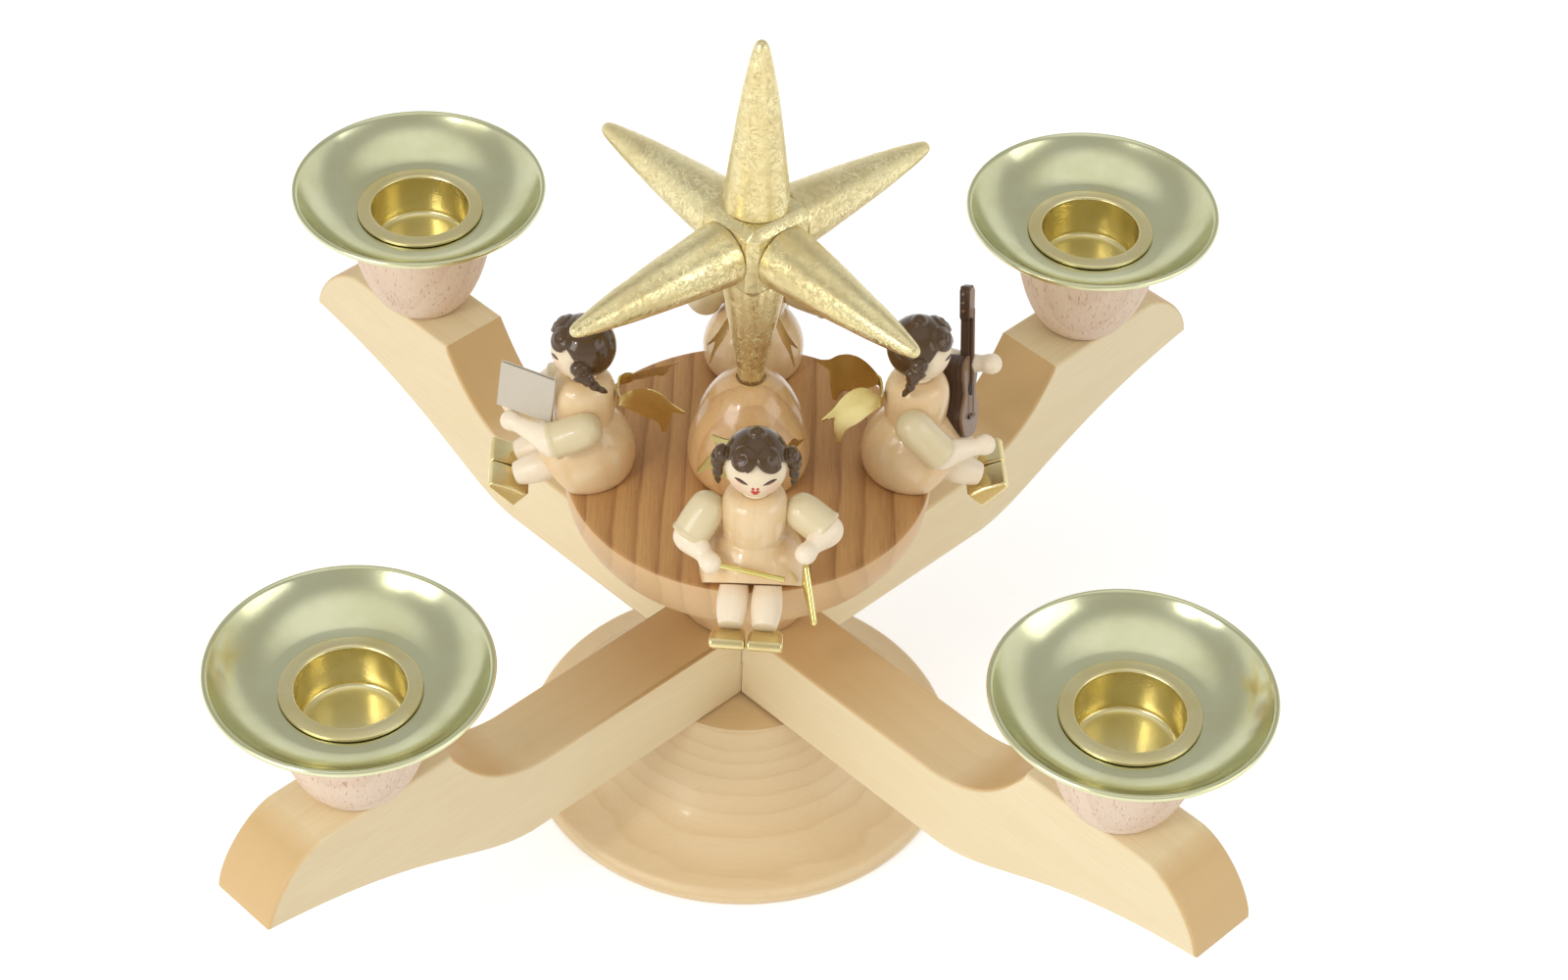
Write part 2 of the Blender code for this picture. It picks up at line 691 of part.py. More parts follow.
def wing_shape():
    """Both wings cut from one strip of sheet, bent round the shoulders and splayed a little."""
    wing = [
        (WING_ROOT, 0.0226),
        (WING_ROOT + 0.0028, 0.0258),
        (WING_ROOT + 0.0058, 0.0268),
        (WING_ROOT + 0.0088, 0.0254),
        (WING_ROOT + 0.0112, 0.0230),
        (WING_ROOT + 0.0142, 0.0218),
        (WING_ROOT + 0.0140, 0.0209),
        (WING_ROOT + 0.0108, 0.0196),
        (WING_ROOT + 0.0104, 0.0166),
        (WING_ROOT + 0.0096, 0.0124),
        (WING_ROOT + 0.0088, 0.0125),
        (WING_ROOT + 0.0080, 0.0156),
        (WING_ROOT + 0.0050, 0.0164),
        (WING_ROOT + 0.0024, 0.0184),
        (WING_ROOT, 0.0198),
    ]
    outline = [(0.0, 0.0220), *wing, (0.0, 0.0204)]
    outline += [(-x, z) for x, z in wing[::-1]]
    sheet = slab(outline, WING_SHEET)
    for bend in (-9, -5, -3.6, 0, 3.6, 5, 9):
        everything = sheet.verts[:] + sheet.edges[:] + sheet.faces[:]
        across = (bend * WING_ROOT / 4, 0, 0)
        bmesh.ops.bisect_plane(sheet, geom=everything, dist=MERGE, plane_co=across, plane_no=(1, 0, 0))
    bmesh.ops.triangulate(sheet, faces=sheet.faces)
    for vert in sheet.verts:
        far, side = abs(vert.co.x), 1 if vert.co.x > 0 else -1
        out = max(0.0, far - WING_ROOT * 0.9)
        near = far - out
        lift = vert.co.y
        splay = WING_SPLAY + 14 * out
        back = out * math.cos(splay) + 40 * near * near * near / WING_ROOT
        bent = Vector((-back, near + out * math.sin(splay)))
        tilt = splay * min(1.0, out / 0.002)
        bent += lift * Vector((-math.sin(math.pi / 2 - tilt), math.cos(math.pi / 2 - tilt)))
        vert.co = (bent.x, side * bent.y, vert.co.z)
    bmesh.ops.recalc_face_normals(sheet, faces=sheet.faces)
    return moved(sheet, Matrix.Translation((-0.0077, 0, 0)))


def book_shape():
    """A folded song book held upright, its fold away from the singer."""
    long, high = 12.9 * UNIT, 12.2 * UNIT
    leaf = slab([(0, 0), (long, 0), (long, high), (0, high)], 1.1 * UNIT)
    lean = Matrix.Rotation(math.radians(-6), 4, "Y")
    swing = Matrix.Rotation(math.radians(158), 4, "Z")
    return moved(leaf, Matrix.Translation(units_to_metres(18.7, 0.4, 17.5)) @ lean @ swing)


def guitar_shapes():
    """A small guitar held upright in front of the chest, its neck leaning to the left hand."""
    half = [(0.0, 0.0), (3.4, 0.6), (5.2, 3.4), (5.2, 6.2), (3.4, 9.6)]
    half += [(3.4, 11.2), (4.3, 14.2), (4.0, 17.2), (1.4, 18.8)]
    belly = slab(scaled(half + [(-x, z) for x, z in half[:0:-1]]), 4.8 * UNIT)
    half = [(0.9, 15.0), (0.9, 26.2), (1.7, 27.0), (1.9, 33.0), (1.2, 34.0)]
    neck = slab(scaled(half + [(-x, z) for x, z in half[::-1]]), 2.6 * UNIT)
    moved(neck, Matrix.Translation((0, -1.4 * UNIT, 0)))
    turn = Matrix.Rotation(math.radians(-30), 4, "X") @ Matrix.Rotation(math.radians(64), 4, "Z")
    frame = Matrix.Translation(units_to_metres(10.4, 0.8, 7.0)) @ turn
    return [moved(belly, frame), moved(neck, frame)]


def clearance_of(arms):
    """Both arms with their hands, grown by the clearance that what they hold keeps to them."""
    return [grown(shape, CLEAR) for points in arms for shape in arm_shapes(*points)]


poses = {
    "front": (
        -87.4,
        ((0.3, -10.1, 20.0), (3.3, -13.6, 14.8), (9.4, -8.9, 12.8)),
        ((0.3, 10.1, 20.2), (3.2, 15.4, 17.8), (9.8, 11.0, 16.8)),
    ),
    "right": (
        3.4,
        ((-1.4, -9.5, 18.8), (4.8, -10.2, 11.6), (15.1, -7.0, 11.4)),
        ((0.0, 9.4, 20.0), (6.8, 11.4, 19.6), (17.2, 8.0, 22.0)),
    ),
    "back": (
        89.4,
        ((0.3, -9.6, 20.4), (2.0, -16.6, 16.0), (10.0, -12.0, 14.0)),
        ((0.3, 9.6, 20.4), (3.0, 11.8, 14.6), (10.4, 8.0, 13.4)),
    ),
    "left": (
        181.8,
        ((-0.6, -9.4, 18.8), (6.4, -9.6, 15.4), (15.8, -3.0, 14.6)),
        ((-0.6, 9.6, 17.8), (6.4, 9.8, 14.8), (15.8, 3.0, 14.8)),
    ),
}

body_mesh = baked("angel_body", body_shape())
head_mesh = joined("angel_head", head_shapes())
wings_mesh = baked("angel_wings", wing_shape(), smooth=False)

for where, (bearing, *arms) in poses.items():
    arms = [scaled(points) for points in arms]
    seat = Matrix.Rotation(math.radians(bearing), 4, "Z") @ Matrix.Translation((ANGEL_REACH, 0, ANGEL_UNDER))
    seat = seat @ Matrix.Rotation(FIGURE_YAW[where], 4, "Z")
    name = "angel_" + where
    place(name + "_body", body_mesh, body_wood, model, seat)
    place(name + "_head", head_mesh, head_paint, model, seat)
    for side, points in zip(("right", "left"), arms):
        around = [grown(body_shape(), CLEAR)]
        mesh = joined(name + "_arm_" + side, arm_shapes(*points), clear_of=around)
        place(name + "_arm_" + side, mesh, sleeve_paint, model, seat)
    for side, word in ((-1, "_leg_right"), (1, "_leg_left")):
        place(name + word, joined(name + word, leg_shapes(side, LEG_SWING[where])), leg_wood, model, seat)
    place(name + "_wings", wings_mesh, sheet_gold, model, seat)
    if where == "left":
        mesh = joined("song_book", [book_shape()], False, clearance_of(arms))
        place("song_book", mesh, paper_board, model, seat)
    if where == "right":
        around = clearance_of(arms) + [grown(body_shape(), CLEAR)]
        place("guitar", joined("guitar", guitar_shapes(), False, around), walnut, model, seat)
    if where == "front":
        beater = wire(scaled([(9.4, -8.0, 12.6), (13.0, 6.8, 12.2)]), WIRE_RADIUS)
        mesh = joined("triangle_beater", [beater], True, clearance_of(arms))
        place("triangle_beater", mesh, gold_wire, model, seat)
        loop = wire(scaled([(10.0, 11.1, 14.4), (5.7, 11.2, 4.4), (18.4, 13.5, 4.2)]), WIRE_RADIUS, True)
        place("triangle", joined("triangle", [loop], True, clearance_of(arms)), gold_wire, model, seat)
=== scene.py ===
"""The looks of the angel candle holder: finer turned pieces, painted angels, woods, brass and gold leaf."""

import math

import bmesh
import bpy
from mathutils import Matrix, Vector
from mathutils.noise import noise


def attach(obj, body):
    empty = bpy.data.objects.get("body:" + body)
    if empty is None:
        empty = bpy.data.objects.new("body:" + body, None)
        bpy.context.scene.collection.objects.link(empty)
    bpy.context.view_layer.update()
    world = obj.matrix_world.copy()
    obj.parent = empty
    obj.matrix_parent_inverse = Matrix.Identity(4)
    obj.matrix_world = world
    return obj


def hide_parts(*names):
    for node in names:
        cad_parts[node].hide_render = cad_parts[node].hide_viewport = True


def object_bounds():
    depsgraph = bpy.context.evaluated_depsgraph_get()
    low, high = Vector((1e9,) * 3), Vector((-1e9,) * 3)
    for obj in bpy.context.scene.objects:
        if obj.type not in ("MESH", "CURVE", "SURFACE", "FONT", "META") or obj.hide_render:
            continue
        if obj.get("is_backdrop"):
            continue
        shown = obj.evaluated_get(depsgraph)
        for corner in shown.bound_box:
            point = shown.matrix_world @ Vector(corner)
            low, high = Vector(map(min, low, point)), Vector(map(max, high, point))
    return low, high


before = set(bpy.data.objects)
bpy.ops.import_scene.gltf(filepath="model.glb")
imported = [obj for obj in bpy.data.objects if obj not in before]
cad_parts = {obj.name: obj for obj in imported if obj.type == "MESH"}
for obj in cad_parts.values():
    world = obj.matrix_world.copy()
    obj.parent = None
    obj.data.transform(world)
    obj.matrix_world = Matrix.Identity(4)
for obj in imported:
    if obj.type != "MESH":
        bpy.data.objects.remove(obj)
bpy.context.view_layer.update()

scene = bpy.context.scene
GAP = 0.0003


def paint(red, green, blue):
    """Colour as seen on screen, 0 to 255, turned into light values."""
    out = []
    for part in (red, green, blue):
        value = part / 255
        out.append(value / 12.92 if value <= 0.04045 else ((value + 0.055) / 1.055) ** 2.4)
    return (*out, 1.0)


# Materials


class Sheet:
    """A material under construction."""

    def __init__(self, name):
        self.material = bpy.data.materials.new(name)
        self.material.use_nodes = True
        self.tree = self.material.node_tree
        self.tree.nodes.clear()
        self.surface = self.add("ShaderNodeBsdfPrincipled")
        self.add("ShaderNodeOutputMaterial", {"Surface": self.surface.outputs[0]})

    def add(self, kind, values=None, **settings):
        node = self.tree.nodes.new(kind)
        for key, value in settings.items():
            setattr(node, key, value)
        for key, value in (values or {}).items():
            self.plug(node.inputs[key], value)
        return node

    def plug(self, socket, value):
        if isinstance(value, bpy.types.NodeSocket):
            self.tree.links.new(value, socket)
        else:
            socket.default_value = value

    def math(self, operation, first, second=0.0, third=0.0):
        return self.add("ShaderNodeMath", {0: first, 1: second, 2: third}, operation=operation).outputs[0]

    def mix(self, share, first, second):
        return self.add("ShaderNodeMix", {0: share, 6: first, 7: second}, data_type="RGBA").outputs[2]

    def between(self, value, low, high, to_low=0.0, to_high=1.0):
        values = {"Value": value, "From Min": low, "From Max": high, "To Min": to_low, "To Max": to_high}
        return self.add("ShaderNodeMapRange", values).outputs[0]

    def noise(self, place, scale, detail=3.0, rough=0.55, distortion=0.0):
        values = {"Vector": place, "Scale": scale, "Detail": detail, "Roughness": rough, "Distortion": distortion}
        return self.add("ShaderNodeTexNoise", values).outputs[0]

    def own_place(self):
        """Each piece's own coordinates, moved so that no two pieces show the same patch."""
        here = self.add("ShaderNodeTexCoord").outputs["Object"]
        where = self.add("ShaderNodeObjectInfo").outputs["Location"]
        far = self.add("ShaderNodeVectorMath", {0: where, "Scale": 3.7}, operation="SCALE").outputs[0]
        return self.add("ShaderNodeVectorMath", {0: here, 1: far}, operation="ADD").outputs[0]

    def bump(self, height, distance, strength):
        made = self.add("ShaderNodeBump", {"Height": height, "Distance": distance, "Strength": strength})
        self.plug(self.surface.inputs["Normal"], made.outputs[0])

    def set(self, **values):
        for key, value in values.items():
            self.plug(self.surface.inputs[key.replace("_", " ")], value)


EVEN, NO_TURN = (1.0, 1.0, 1.0), (0, 0, 0)


def stretched(sheet, place, turn, scale):
    return sheet.add("ShaderNodeMapping", {"Vector": place, "Rotation": turn, "Scale": scale}).outputs[0]


def wood(
    name, pale, dark, turn, spacing, rings, fibres, roughness, coat=0.0, fleck=0.0, worn=None, ends=None, sides=None
):
    """Wood whose grain runs along x once the piece is turned by `turn`, its growth rings stacked along y.
    `ends` tints the cut ends of the grain and, as painted shade, upward faces near the middle; `sides` paints light
    on faces looking sideways or down."""
    sheet = Sheet(name)
    place = sheet.own_place()
    board = stretched(sheet, place, turn, EVEN)
    long = stretched(sheet, board, NO_TURN, (0.16, 1.0, 1.0))
    wave = sheet.noise(long, 26.0, 2.0)
    small_wave = sheet.noise(long, 140.0, 2.0)
    across = sheet.add("ShaderNodeSeparateXYZ", {0: board}).outputs[1]
    count = sheet.math("MULTIPLY", across, 1.0 / spacing)
    count = sheet.math("MULTIPLY_ADD", wave, 3.2, count)
    count = sheet.math("MULTIPLY_ADD", small_wave, 0.5, count)
    part = sheet.math("FRACT", count)
    late = sheet.math("MULTIPLY", sheet.math("POWER", part, 3.0), sheet.between(part, 0.90, 1.0, 1.0, 0.0))
    fine = sheet.noise(stretched(sheet, board, NO_TURN, (0.035, 1.0, 1.0)), 2600.0, 2.0, 0.6)
    broad = sheet.noise(long, 60.0, 2.0)
    shade = sheet.math("MULTIPLY", late, rings)
    shade = sheet.math("MULTIPLY_ADD", sheet.between(fine, 0.3, 0.75), fibres, shade)
    shade = sheet.math("MULTIPLY_ADD", sheet.between(broad, 0.3, 0.7), fibres, shade)
    if fleck:
        dash = sheet.noise(long, 1900.0, 1.0)
        shade = sheet.math("MULTIPLY_ADD", sheet.between(dash, 0.62, 0.70), fleck, shade)
    colour = sheet.mix(sheet.math("MINIMUM", shade, 1.0), paint(*pale), paint(*dark))
    if worn:
        patch = sheet.noise(place, 95.0, 2.0)
        colour = sheet.mix(sheet.between(patch, 0.45, 0.72, 0.0, 0.75), colour, paint(*worn))
    if ends or sides:
        here = sheet.add("ShaderNodeTexCoord").outputs
        level = sheet.add("ShaderNodeSeparateXYZ", {0: here["Normal"]}).outputs[2]
    if ends:
        facing = sheet.add("ShaderNodeSeparateXYZ", {0: stretched(sheet, here["Normal"], turn, EVEN)}).outputs[0]
        cut = sheet.between(sheet.math("ABSOLUTE", facing), 0.05, 0.55, 0.0, 0.85)
        # Painted shade: upward faces near the middle, under the seat, take the end-grain colour as well.
        middle = sheet.add("ShaderNodeVectorMath", {0: here["Object"]}, operation="LENGTH").outputs["Value"]
        near = sheet.between(middle, 0.060, 0.110, 0.8, 0.0)
        painted_middle_shade = sheet.math("MULTIPLY", near, sheet.between(level, 0.3, 0.7))
        colour = sheet.mix(sheet.math("MAXIMUM", cut, painted_middle_shade), colour, paint(*ends))
    # Painted light: faces that look sideways or down are mixed towards the `sides` colour, which stands in for
    # light falling on them.
    if sides:
        colour = sheet.mix(sheet.between(level, 0.55, 0.75, 0.6, 0.0), colour, paint(*sides))
    sheet.set(Base_Color=colour, Specular_IOR_Level=0.35)
    sheet.set(Roughness=sheet.between(fine, 0.2, 0.8, roughness - 0.06, roughness + 0.08))
    if coat:
        sheet.set(Coat_Weight=coat, Coat_Roughness=0.12)
    sheet.bump(sheet.math("ADD", fine, late), 0.00004, 0.35 if coat else 0.6)
    return sheet.material


def metal(name, colour, deep, roughness, wobble, brushed=0.0, leaf=0.0, fine=0.03):
    """Metal with slight waviness, fine turning marks or the wrinkles of gold leaf."""
    sheet = Sheet(name)
    place = sheet.own_place()
    cloud = sheet.noise(place, 70.0, 3.0)
    shade = sheet.between(cloud, 0.35, 0.7)
    height = sheet.math("MULTIPLY", cloud, wobble)
    rough = sheet.between(cloud, 0.3, 0.7, roughness - 0.04, roughness + 0.06)
    if brushed:
        x, y, z = sheet.add("ShaderNodeSeparateXYZ", {0: sheet.add("ShaderNodeTexCoord").outputs["Object"]}).outputs
        radius = sheet.math("SQRT", sheet.math("MULTIPLY_ADD", y, y, sheet.math("MULTIPLY", x, x)))
        ring = sheet.add("ShaderNodeCombineXYZ", {0: radius, 1: z, 2: 0.0}).outputs[0]
        lathe_marks = sheet.noise(ring, 4200.0, 2.0)
        height = sheet.math("MULTIPLY_ADD", lathe_marks, brushed, height)
        rough = sheet.math("MULTIPLY_ADD", lathe_marks, 0.08, rough)
    if leaf:
        crease = sheet.add("ShaderNodeTexVoronoi", {"Vector": place, "Scale": 260.0}, feature="DISTANCE_TO_EDGE")
        bent = sheet.noise(place, 420.0, 5.0, 0.7, 1.6)
        fold = sheet.between(bent, 0.47, 0.53)
        wrinkle = sheet.noise(stretched(sheet, place, NO_TURN, (1.0, 1.0, 0.45)), 1500.0, 4.0, 0.75, 0.8)
        line = sheet.between(sheet.math("ABSOLUTE", sheet.math("SUBTRACT", bent, 0.5)), 0.0, 0.03)
        height = sheet.math("MULTIPLY_ADD", line, leaf, height)
        height = sheet.math("MULTIPLY_ADD", fold, leaf * 0.4, height)
        height = sheet.math("MULTIPLY_ADD", wrinkle, leaf * 0.16, height)
        shade = sheet.math("MULTIPLY", shade, sheet.between(crease.outputs["Distance"], 0.0, 0.02, 0.6, 1.0))
        torn = sheet.math("MULTIPLY", sheet.between(line, 0.0, 0.6, 1.0, 0.0), sheet.between(cloud, 0.5, 0.66))
        fleck = sheet.between(sheet.noise(place, 620.0, 3.0, 0.7), 0.42, 0.66)
        shade = sheet.math("MULTIPLY_ADD", shade, 0.45, sheet.math("MULTIPLY", fleck, 0.22))
        shade = sheet.math("MAXIMUM", shade, torn)
        rough = sheet.math("MULTIPLY_ADD", bent, 0.14, rough)
    else:
        height = sheet.math("MULTIPLY_ADD", sheet.noise(place, 1500.0, 3.0), fine, height)
    sheet.set(Base_Color=sheet.mix(shade, paint(*colour), paint(*deep)), Metallic=1.0, Roughness=rough)
    sheet.bump(height, 0.00015, 0.5)
    return sheet.material


def enamel(name, colour, shade, roughness, coat=0.0, dent=0.00004, gloss=0.5):
    """Brushed-on paint: soft strokes, slightly uneven in colour and gloss."""
    sheet = Sheet(name)
    place = sheet.own_place()
    stroke = sheet.noise(stretched(sheet, place, (0.3, 0.2, 0.4), (1.0, 1.0, 0.25)), 520.0, 3.0, 0.6)
    soft = sheet.noise(place, 130.0, 2.0)
    share = sheet.math("MULTIPLY_ADD", stroke, 0.25, sheet.math("MULTIPLY", soft, 0.25))
    sheet.set(Base_Color=sheet.mix(share, paint(*colour), paint(*shade)))
    sheet.set(Roughness=sheet.between(stroke, 0.3, 0.7, roughness - 0.05, roughness + 0.07))
    if coat:
        sheet.set(Coat_Weight=coat, Coat_Roughness=0.05)
    sheet.set(Specular_IOR_Level=gloss)
    sheet.bump(stroke, dent, 0.4)
    return sheet.material


QUARTER, EIGHTH = math.pi / 2, math.pi / 4
upright = (0, QUARTER, 0)
foot_wood = wood("foot_maple", (234, 210, 168), (208, 174, 122), (QUARTER, 0, 0), 0.0034, 0.34, 0.18, 0.42, 0.15)
# The bars' end-grain colour, also used as painted shade on their tops near the crossing, under the seat.
bar_pale, bar_dark, bar_end_grain_and_shade = (241, 225, 187), (216, 188, 138), (211, 173, 115)
bar_woods = [
    wood("bar_lime_" + name, bar_pale, bar_dark, (0, 0, turn), 0.0060, 0.16, 0.22, 0.5, 0.1, ends=bar_end_grain_and_shade)
    for name, turn in (("lower", -EIGHTH), ("upper", EIGHTH))
]
# Painted light: the seat's rim and underside are made paler than its top, standing in for light bounced up from
# below.
disc_look = {"coat": 0.08, "fleck": 0.10, "sides": (234, 202, 156)}
lengthwise = (0, 0, QUARTER)
disc_wood = wood("disc_beech", (214, 166, 108), (140, 90, 44), lengthwise, 0.0062, 0.62, 0.24, 0.46, **disc_look)
dome_wood = wood("dome_beech", (220, 182, 128), (172, 122, 72), upright, 0.0036, 0.4, 0.2, 0.2, 0.7, fleck=0.1)
cup_wood = wood("cup_beech", (237, 217, 194), (198, 156, 126), upright, 0.0042, 0.24, 0.16, 0.55, fleck=0.65)
body_look = {"coat": 0.6, "worn": (224, 186, 136)}
body_wood = wood("body_limewood", (236, 210, 166), (212, 174, 122), upright, 0.0030, 0.14, 0.18, 0.24, **body_look)
limb_wood = wood("limb_limewood", (246, 232, 206), (230, 204, 168), upright, 0.0040, 0.1, 0.2, 0.38, 0.3)
walnut = wood("guitar_walnut", (98, 70, 50), (54, 36, 26), upright, 0.0012, 0.5, 0.5, 0.38, 0.2)
walnut_pale = wood("guitar_front", (156, 124, 90), (108, 80, 56), upright, 0.0010, 0.5, 0.4, 0.38, 0.2)
tray_metal = metal("tray_brass", (224, 225, 186), (213, 212, 168), 0.16, wobble=1.0, brushed=0.06)
insert_metal = metal("insert_brass", (236, 225, 176), (220, 206, 146), 0.24, wobble=0.4, brushed=0.12)
leaf_metal = metal("star_gold_leaf", (240, 228, 178), (206, 180, 118), 0.2, wobble=0.5, leaf=1.1)
wing_metal = metal("wing_gold", (224, 210, 150), (198, 178, 108), 0.24, wobble=1.2, fine=0.0)
shoe_metal = metal("shoe_gold", (240, 226, 172), (214, 192, 132), 0.26, wobble=0.5, fine=0.01)
wire_metal = metal("wire_brass", (234, 222, 150), (218, 202, 122), 0.16, wobble=0.2, fine=0.0)
sleeve_paint = enamel("sleeve_cream", (224, 208, 168), (210, 192, 146), 0.36, 0.35)
hair_paint = enamel("hair_brown", (84, 60, 32), (60, 42, 22), 0.22, 0.6, dent=0.00005, gloss=0.2)
ink = enamel("eye_brown", (136, 84, 64), (106, 62, 46), 0.35)
lash = enamel("lash_dark", (52, 34, 28), (40, 26, 22), 0.35)
lip_red = enamel("mouth_red", (204, 62, 52), (184, 46, 40), 0.4)
black = enamel("sound_hole_dark", (38, 28, 26), (26, 20, 18), 0.6)


def skin_look():
    """Pale painted skin with a little red on the cheeks."""
    sheet = Sheet("face_skin")
    here = sheet.add("ShaderNodeTexCoord").outputs["Object"]
    place = sheet.own_place()
    soft = sheet.noise(place, 180.0, 2.0)
    colour = sheet.mix(sheet.math("MULTIPLY", soft, 0.5), paint(238, 220, 188), paint(230, 206, 170))
    mirrored = sheet.add("ShaderNodeVectorMath", {0: here}, operation="ABSOLUTE").outputs[0]
    cheek = (0.0053, 0.0036, 0.0306)
    gap = sheet.add("ShaderNodeVectorMath", {0: mirrored, 1: cheek}, operation="DISTANCE").outputs["Value"]
    flush = sheet.between(gap, 0.0008, 0.0032, 0.42, 0.0)
    sheet.set(Base_Color=sheet.mix(flush, colour, paint(232, 172, 144)))
    sheet.set(Roughness=sheet.between(soft, 0.3, 0.7, 0.4, 0.5), Coat_Weight=0.25, Coat_Roughness=0.15)
    sheet.bump(sheet.noise(place, 900.0, 2.0), 0.00002, 0.4)
    return sheet.material


def card_look():
    """Grey card with fine paper fibres."""
    sheet = Sheet("book_card")
    place = sheet.own_place()
    fibre = sheet.noise(stretched(sheet, place, (0.2, 0.1, 0.7), (1.0, 0.3, 1.0)), 2400.0, 3.0, 0.65)
    stain = sheet.noise(place, 110.0, 2.0)
    share = sheet.math("MULTIPLY_ADD", fibre, 0.5, sheet.math("MULTIPLY", stain, 0.4))
    sheet.set(Base_Color=sheet.mix(share, paint(214, 206, 190), paint(192, 182, 164)))
    sheet.set(Roughness=sheet.between(fibre, 0.3, 0.7, 0.72, 0.85))
    sheet.bump(fibre, 0.00003, 0.6)
    return sheet.material


face_skin = skin_look()
card = card_look()


# Shapes


def bezier(start, lean, pull, end, count):
    points = []
    for step in range(count):
        t = step / count
        a, b, c, d = (1 - t) ** 3, 3 * t * (1 - t) ** 2, 3 * t * t * (1 - t), t ** 3
        points.append(tuple(a * p + b * q + c * r + d * s for p, q, r, s in zip(start, lean, pull, end)))
    return points


def flowing(points, count):
    """A smooth line through all the points."""
    out, last = [], len(points) - 1
    for i in range(last):
        p = [Vector(points[min(max(i + k, 0), last)]) for k in (-1, 0, 1, 2)]
        bow = 2 * p[0] - 5 * p[1] + 4 * p[2] - p[3]
        twist = 3 * p[1] - p[0] - 3 * p[2] + p[3]
        for step in range(count):
            t = step / count
            out.append(0.5 * (2 * p[1] + (p[2] - p[0]) * t + bow * t * t + twist * t ** 3))
    return out + [Vector(points[-1])]


def skinned(shape, rows, ends=()):
    """Faces between each row of points and the next, where a row of one point is a pole, and the end faces."""
    for upper, lower in zip(rows, rows[1:]):
        count = max(len(upper), len(lower))
        for i in range(count if count > 1 else 0):
            j = (i + 1) % count
            if len(upper) == 1:
                shape.faces.new((upper[0], lower[i], lower[j]))
            elif len(lower) == 1:
                shape.faces.new((upper[i], lower[0], upper[j]))
            else:
                shape.faces.new((upper[i], lower[i], lower[j], upper[j]))
    for end in ends:
        shape.faces.new(end)
    bmesh.ops.recalc_face_normals(shape, faces=shape.faces)
    return shape


def lathe(outline, steps, ring=False):
    """A closed turned shape. The outline runs from the top down the outer side; a ring's comes round again."""
    shape = bmesh.new()
    rows = []
    for radius, height in outline:
        if radius < 1e-7:
            rows.append([shape.verts.new((0.0, 0.0, height))])
            continue
        row = []
        for i in range(steps):
            angle = 2 * math.pi * i / steps
            row.append(shape.verts.new((radius * math.cos(angle), radius * math.sin(angle), height)))
        rows.append(row)
    return skinned(shape, rows + [rows[0]] if ring else rows)


def globe(radii, centre, steps, rings, turn=Matrix()):
    shape = bmesh.new()
    place = Matrix.Translation(centre) @ turn @ Matrix.Diagonal((*radii, 1.0))
    bmesh.ops.create_uvsphere(shape, u_segments=steps, v_segments=rings, radius=1.0, matrix=place)
    return shape


def row_round(shape, point, side, other, radius, sides):
    row = []
    for k in range(sides):
        angle = 2 * math.pi * k / sides
        row.append(shape.verts.new(point + (side * math.cos(angle) + other * math.sin(angle)) * radius))
    return row


def tube(points, radii, sides):
    """A round rod along the points, with a radius at each, closed at both ends."""
    shape = bmesh.new()
    points = [Vector(point) for point in points]
    side = None
    rows = []
    for i, point in enumerate(points):
        way = (points[min(i + 1, len(points) - 1)] - points[max(i - 1, 0)]).normalized()
        if side is None:
            side = way.orthogonal().normalized()
        side = (side - way * side.dot(way)).normalized()
        radius = radii[i] if hasattr(radii, "__len__") else radii
        rows.append(row_round(shape, point, side, way.cross(side), radius, sides))
    return skinned(shape, rows, (rows[0][::-1], rows[-1]))


def loop_tube(points, radius, sides):
    """A round rod bent into a closed loop that lies in one plane."""
    shape = bmesh.new()
    count = len(points)
    centre = sum(points, Vector()) / count
    flat = (points[0] - centre).cross(points[count // 3] - centre).normalized()
    rows = []
    for i, point in enumerate(points):
        way = (points[(i + 1) % count] - points[i - 1]).normalized()
        rows.append(row_round(shape, point, way.cross(flat).normalized(), flat, radius, sides))
    return skinned(shape, rows + [rows[0]])


def slab(outline, thickness, soft=0.0, segments=3):
    """A flat plate drawn in x and z, as thick along y as told, its outer edges softened."""
    shape = bmesh.new()
    front = [shape.verts.new((x, -thickness / 2, z)) for x, z in outline]
    face = shape.faces.new(front)
    made = bmesh.ops.extrude_face_region(shape, geom=[face])
    moved_verts = [thing for thing in made["geom"] if isinstance(thing, bmesh.types.BMVert)]
    bmesh.ops.translate(shape, verts=moved_verts, vec=(0, thickness, 0))
    bmesh.ops.recalc_face_normals(shape, faces=shape.faces)
    if soft:
        rims = [edge for edge in shape.edges if abs(edge.verts[0].co.y - edge.verts[1].co.y) < 1e-9]
        bmesh.ops.bevel(shape, geom=rims, offset=soft, segments=segments, profile=0.5, affect="EDGES")
    return shape


def moved(shape, matrix):
    bmesh.ops.transform(shape, matrix=matrix, verts=shape.verts)
    return shape


def shifted(shape, x, y, z):
    return moved(shape, Matrix.Translation((x, y, z)))


def turned(degrees, axis="Z"):
    return Matrix.Rotation(math.radians(degrees), 4, axis)


def along(start, end):
    way = Vector(end) - Vector(start)
    return Matrix.Translation(start) @ way.to_track_quat("Z", "Y").to_matrix().to_4x4()


def trimmed(shape, point, normal):
    """Takes away what lies on the normal's side of the plane, and closes the cut."""
    whole = shape.verts[:] + shape.edges[:] + shape.faces[:]
    plane = {"plane_co": point, "plane_no": normal}
    cut = bmesh.ops.bisect_plane(shape, geom=whole, dist=1e-6, clear_outer=True, **plane)
    rim = [thing for thing in cut["geom_cut"] if isinstance(thing, bmesh.types.BMEdge)]
    bmesh.ops.holes_fill(shape, edges=rim)
    bmesh.ops.recalc_face_normals(shape, faces=shape.faces)
    return shape


def together(shapes):
    """Several shapes in one mesh."""
    mesh = bpy.data.meshes.new("part")
    whole = bmesh.new()
    for shape in shapes:
        shape.to_mesh(mesh)
        shape.free()
        whole.from_mesh(mesh)
    bpy.data.meshes.remove(mesh)
    return whole


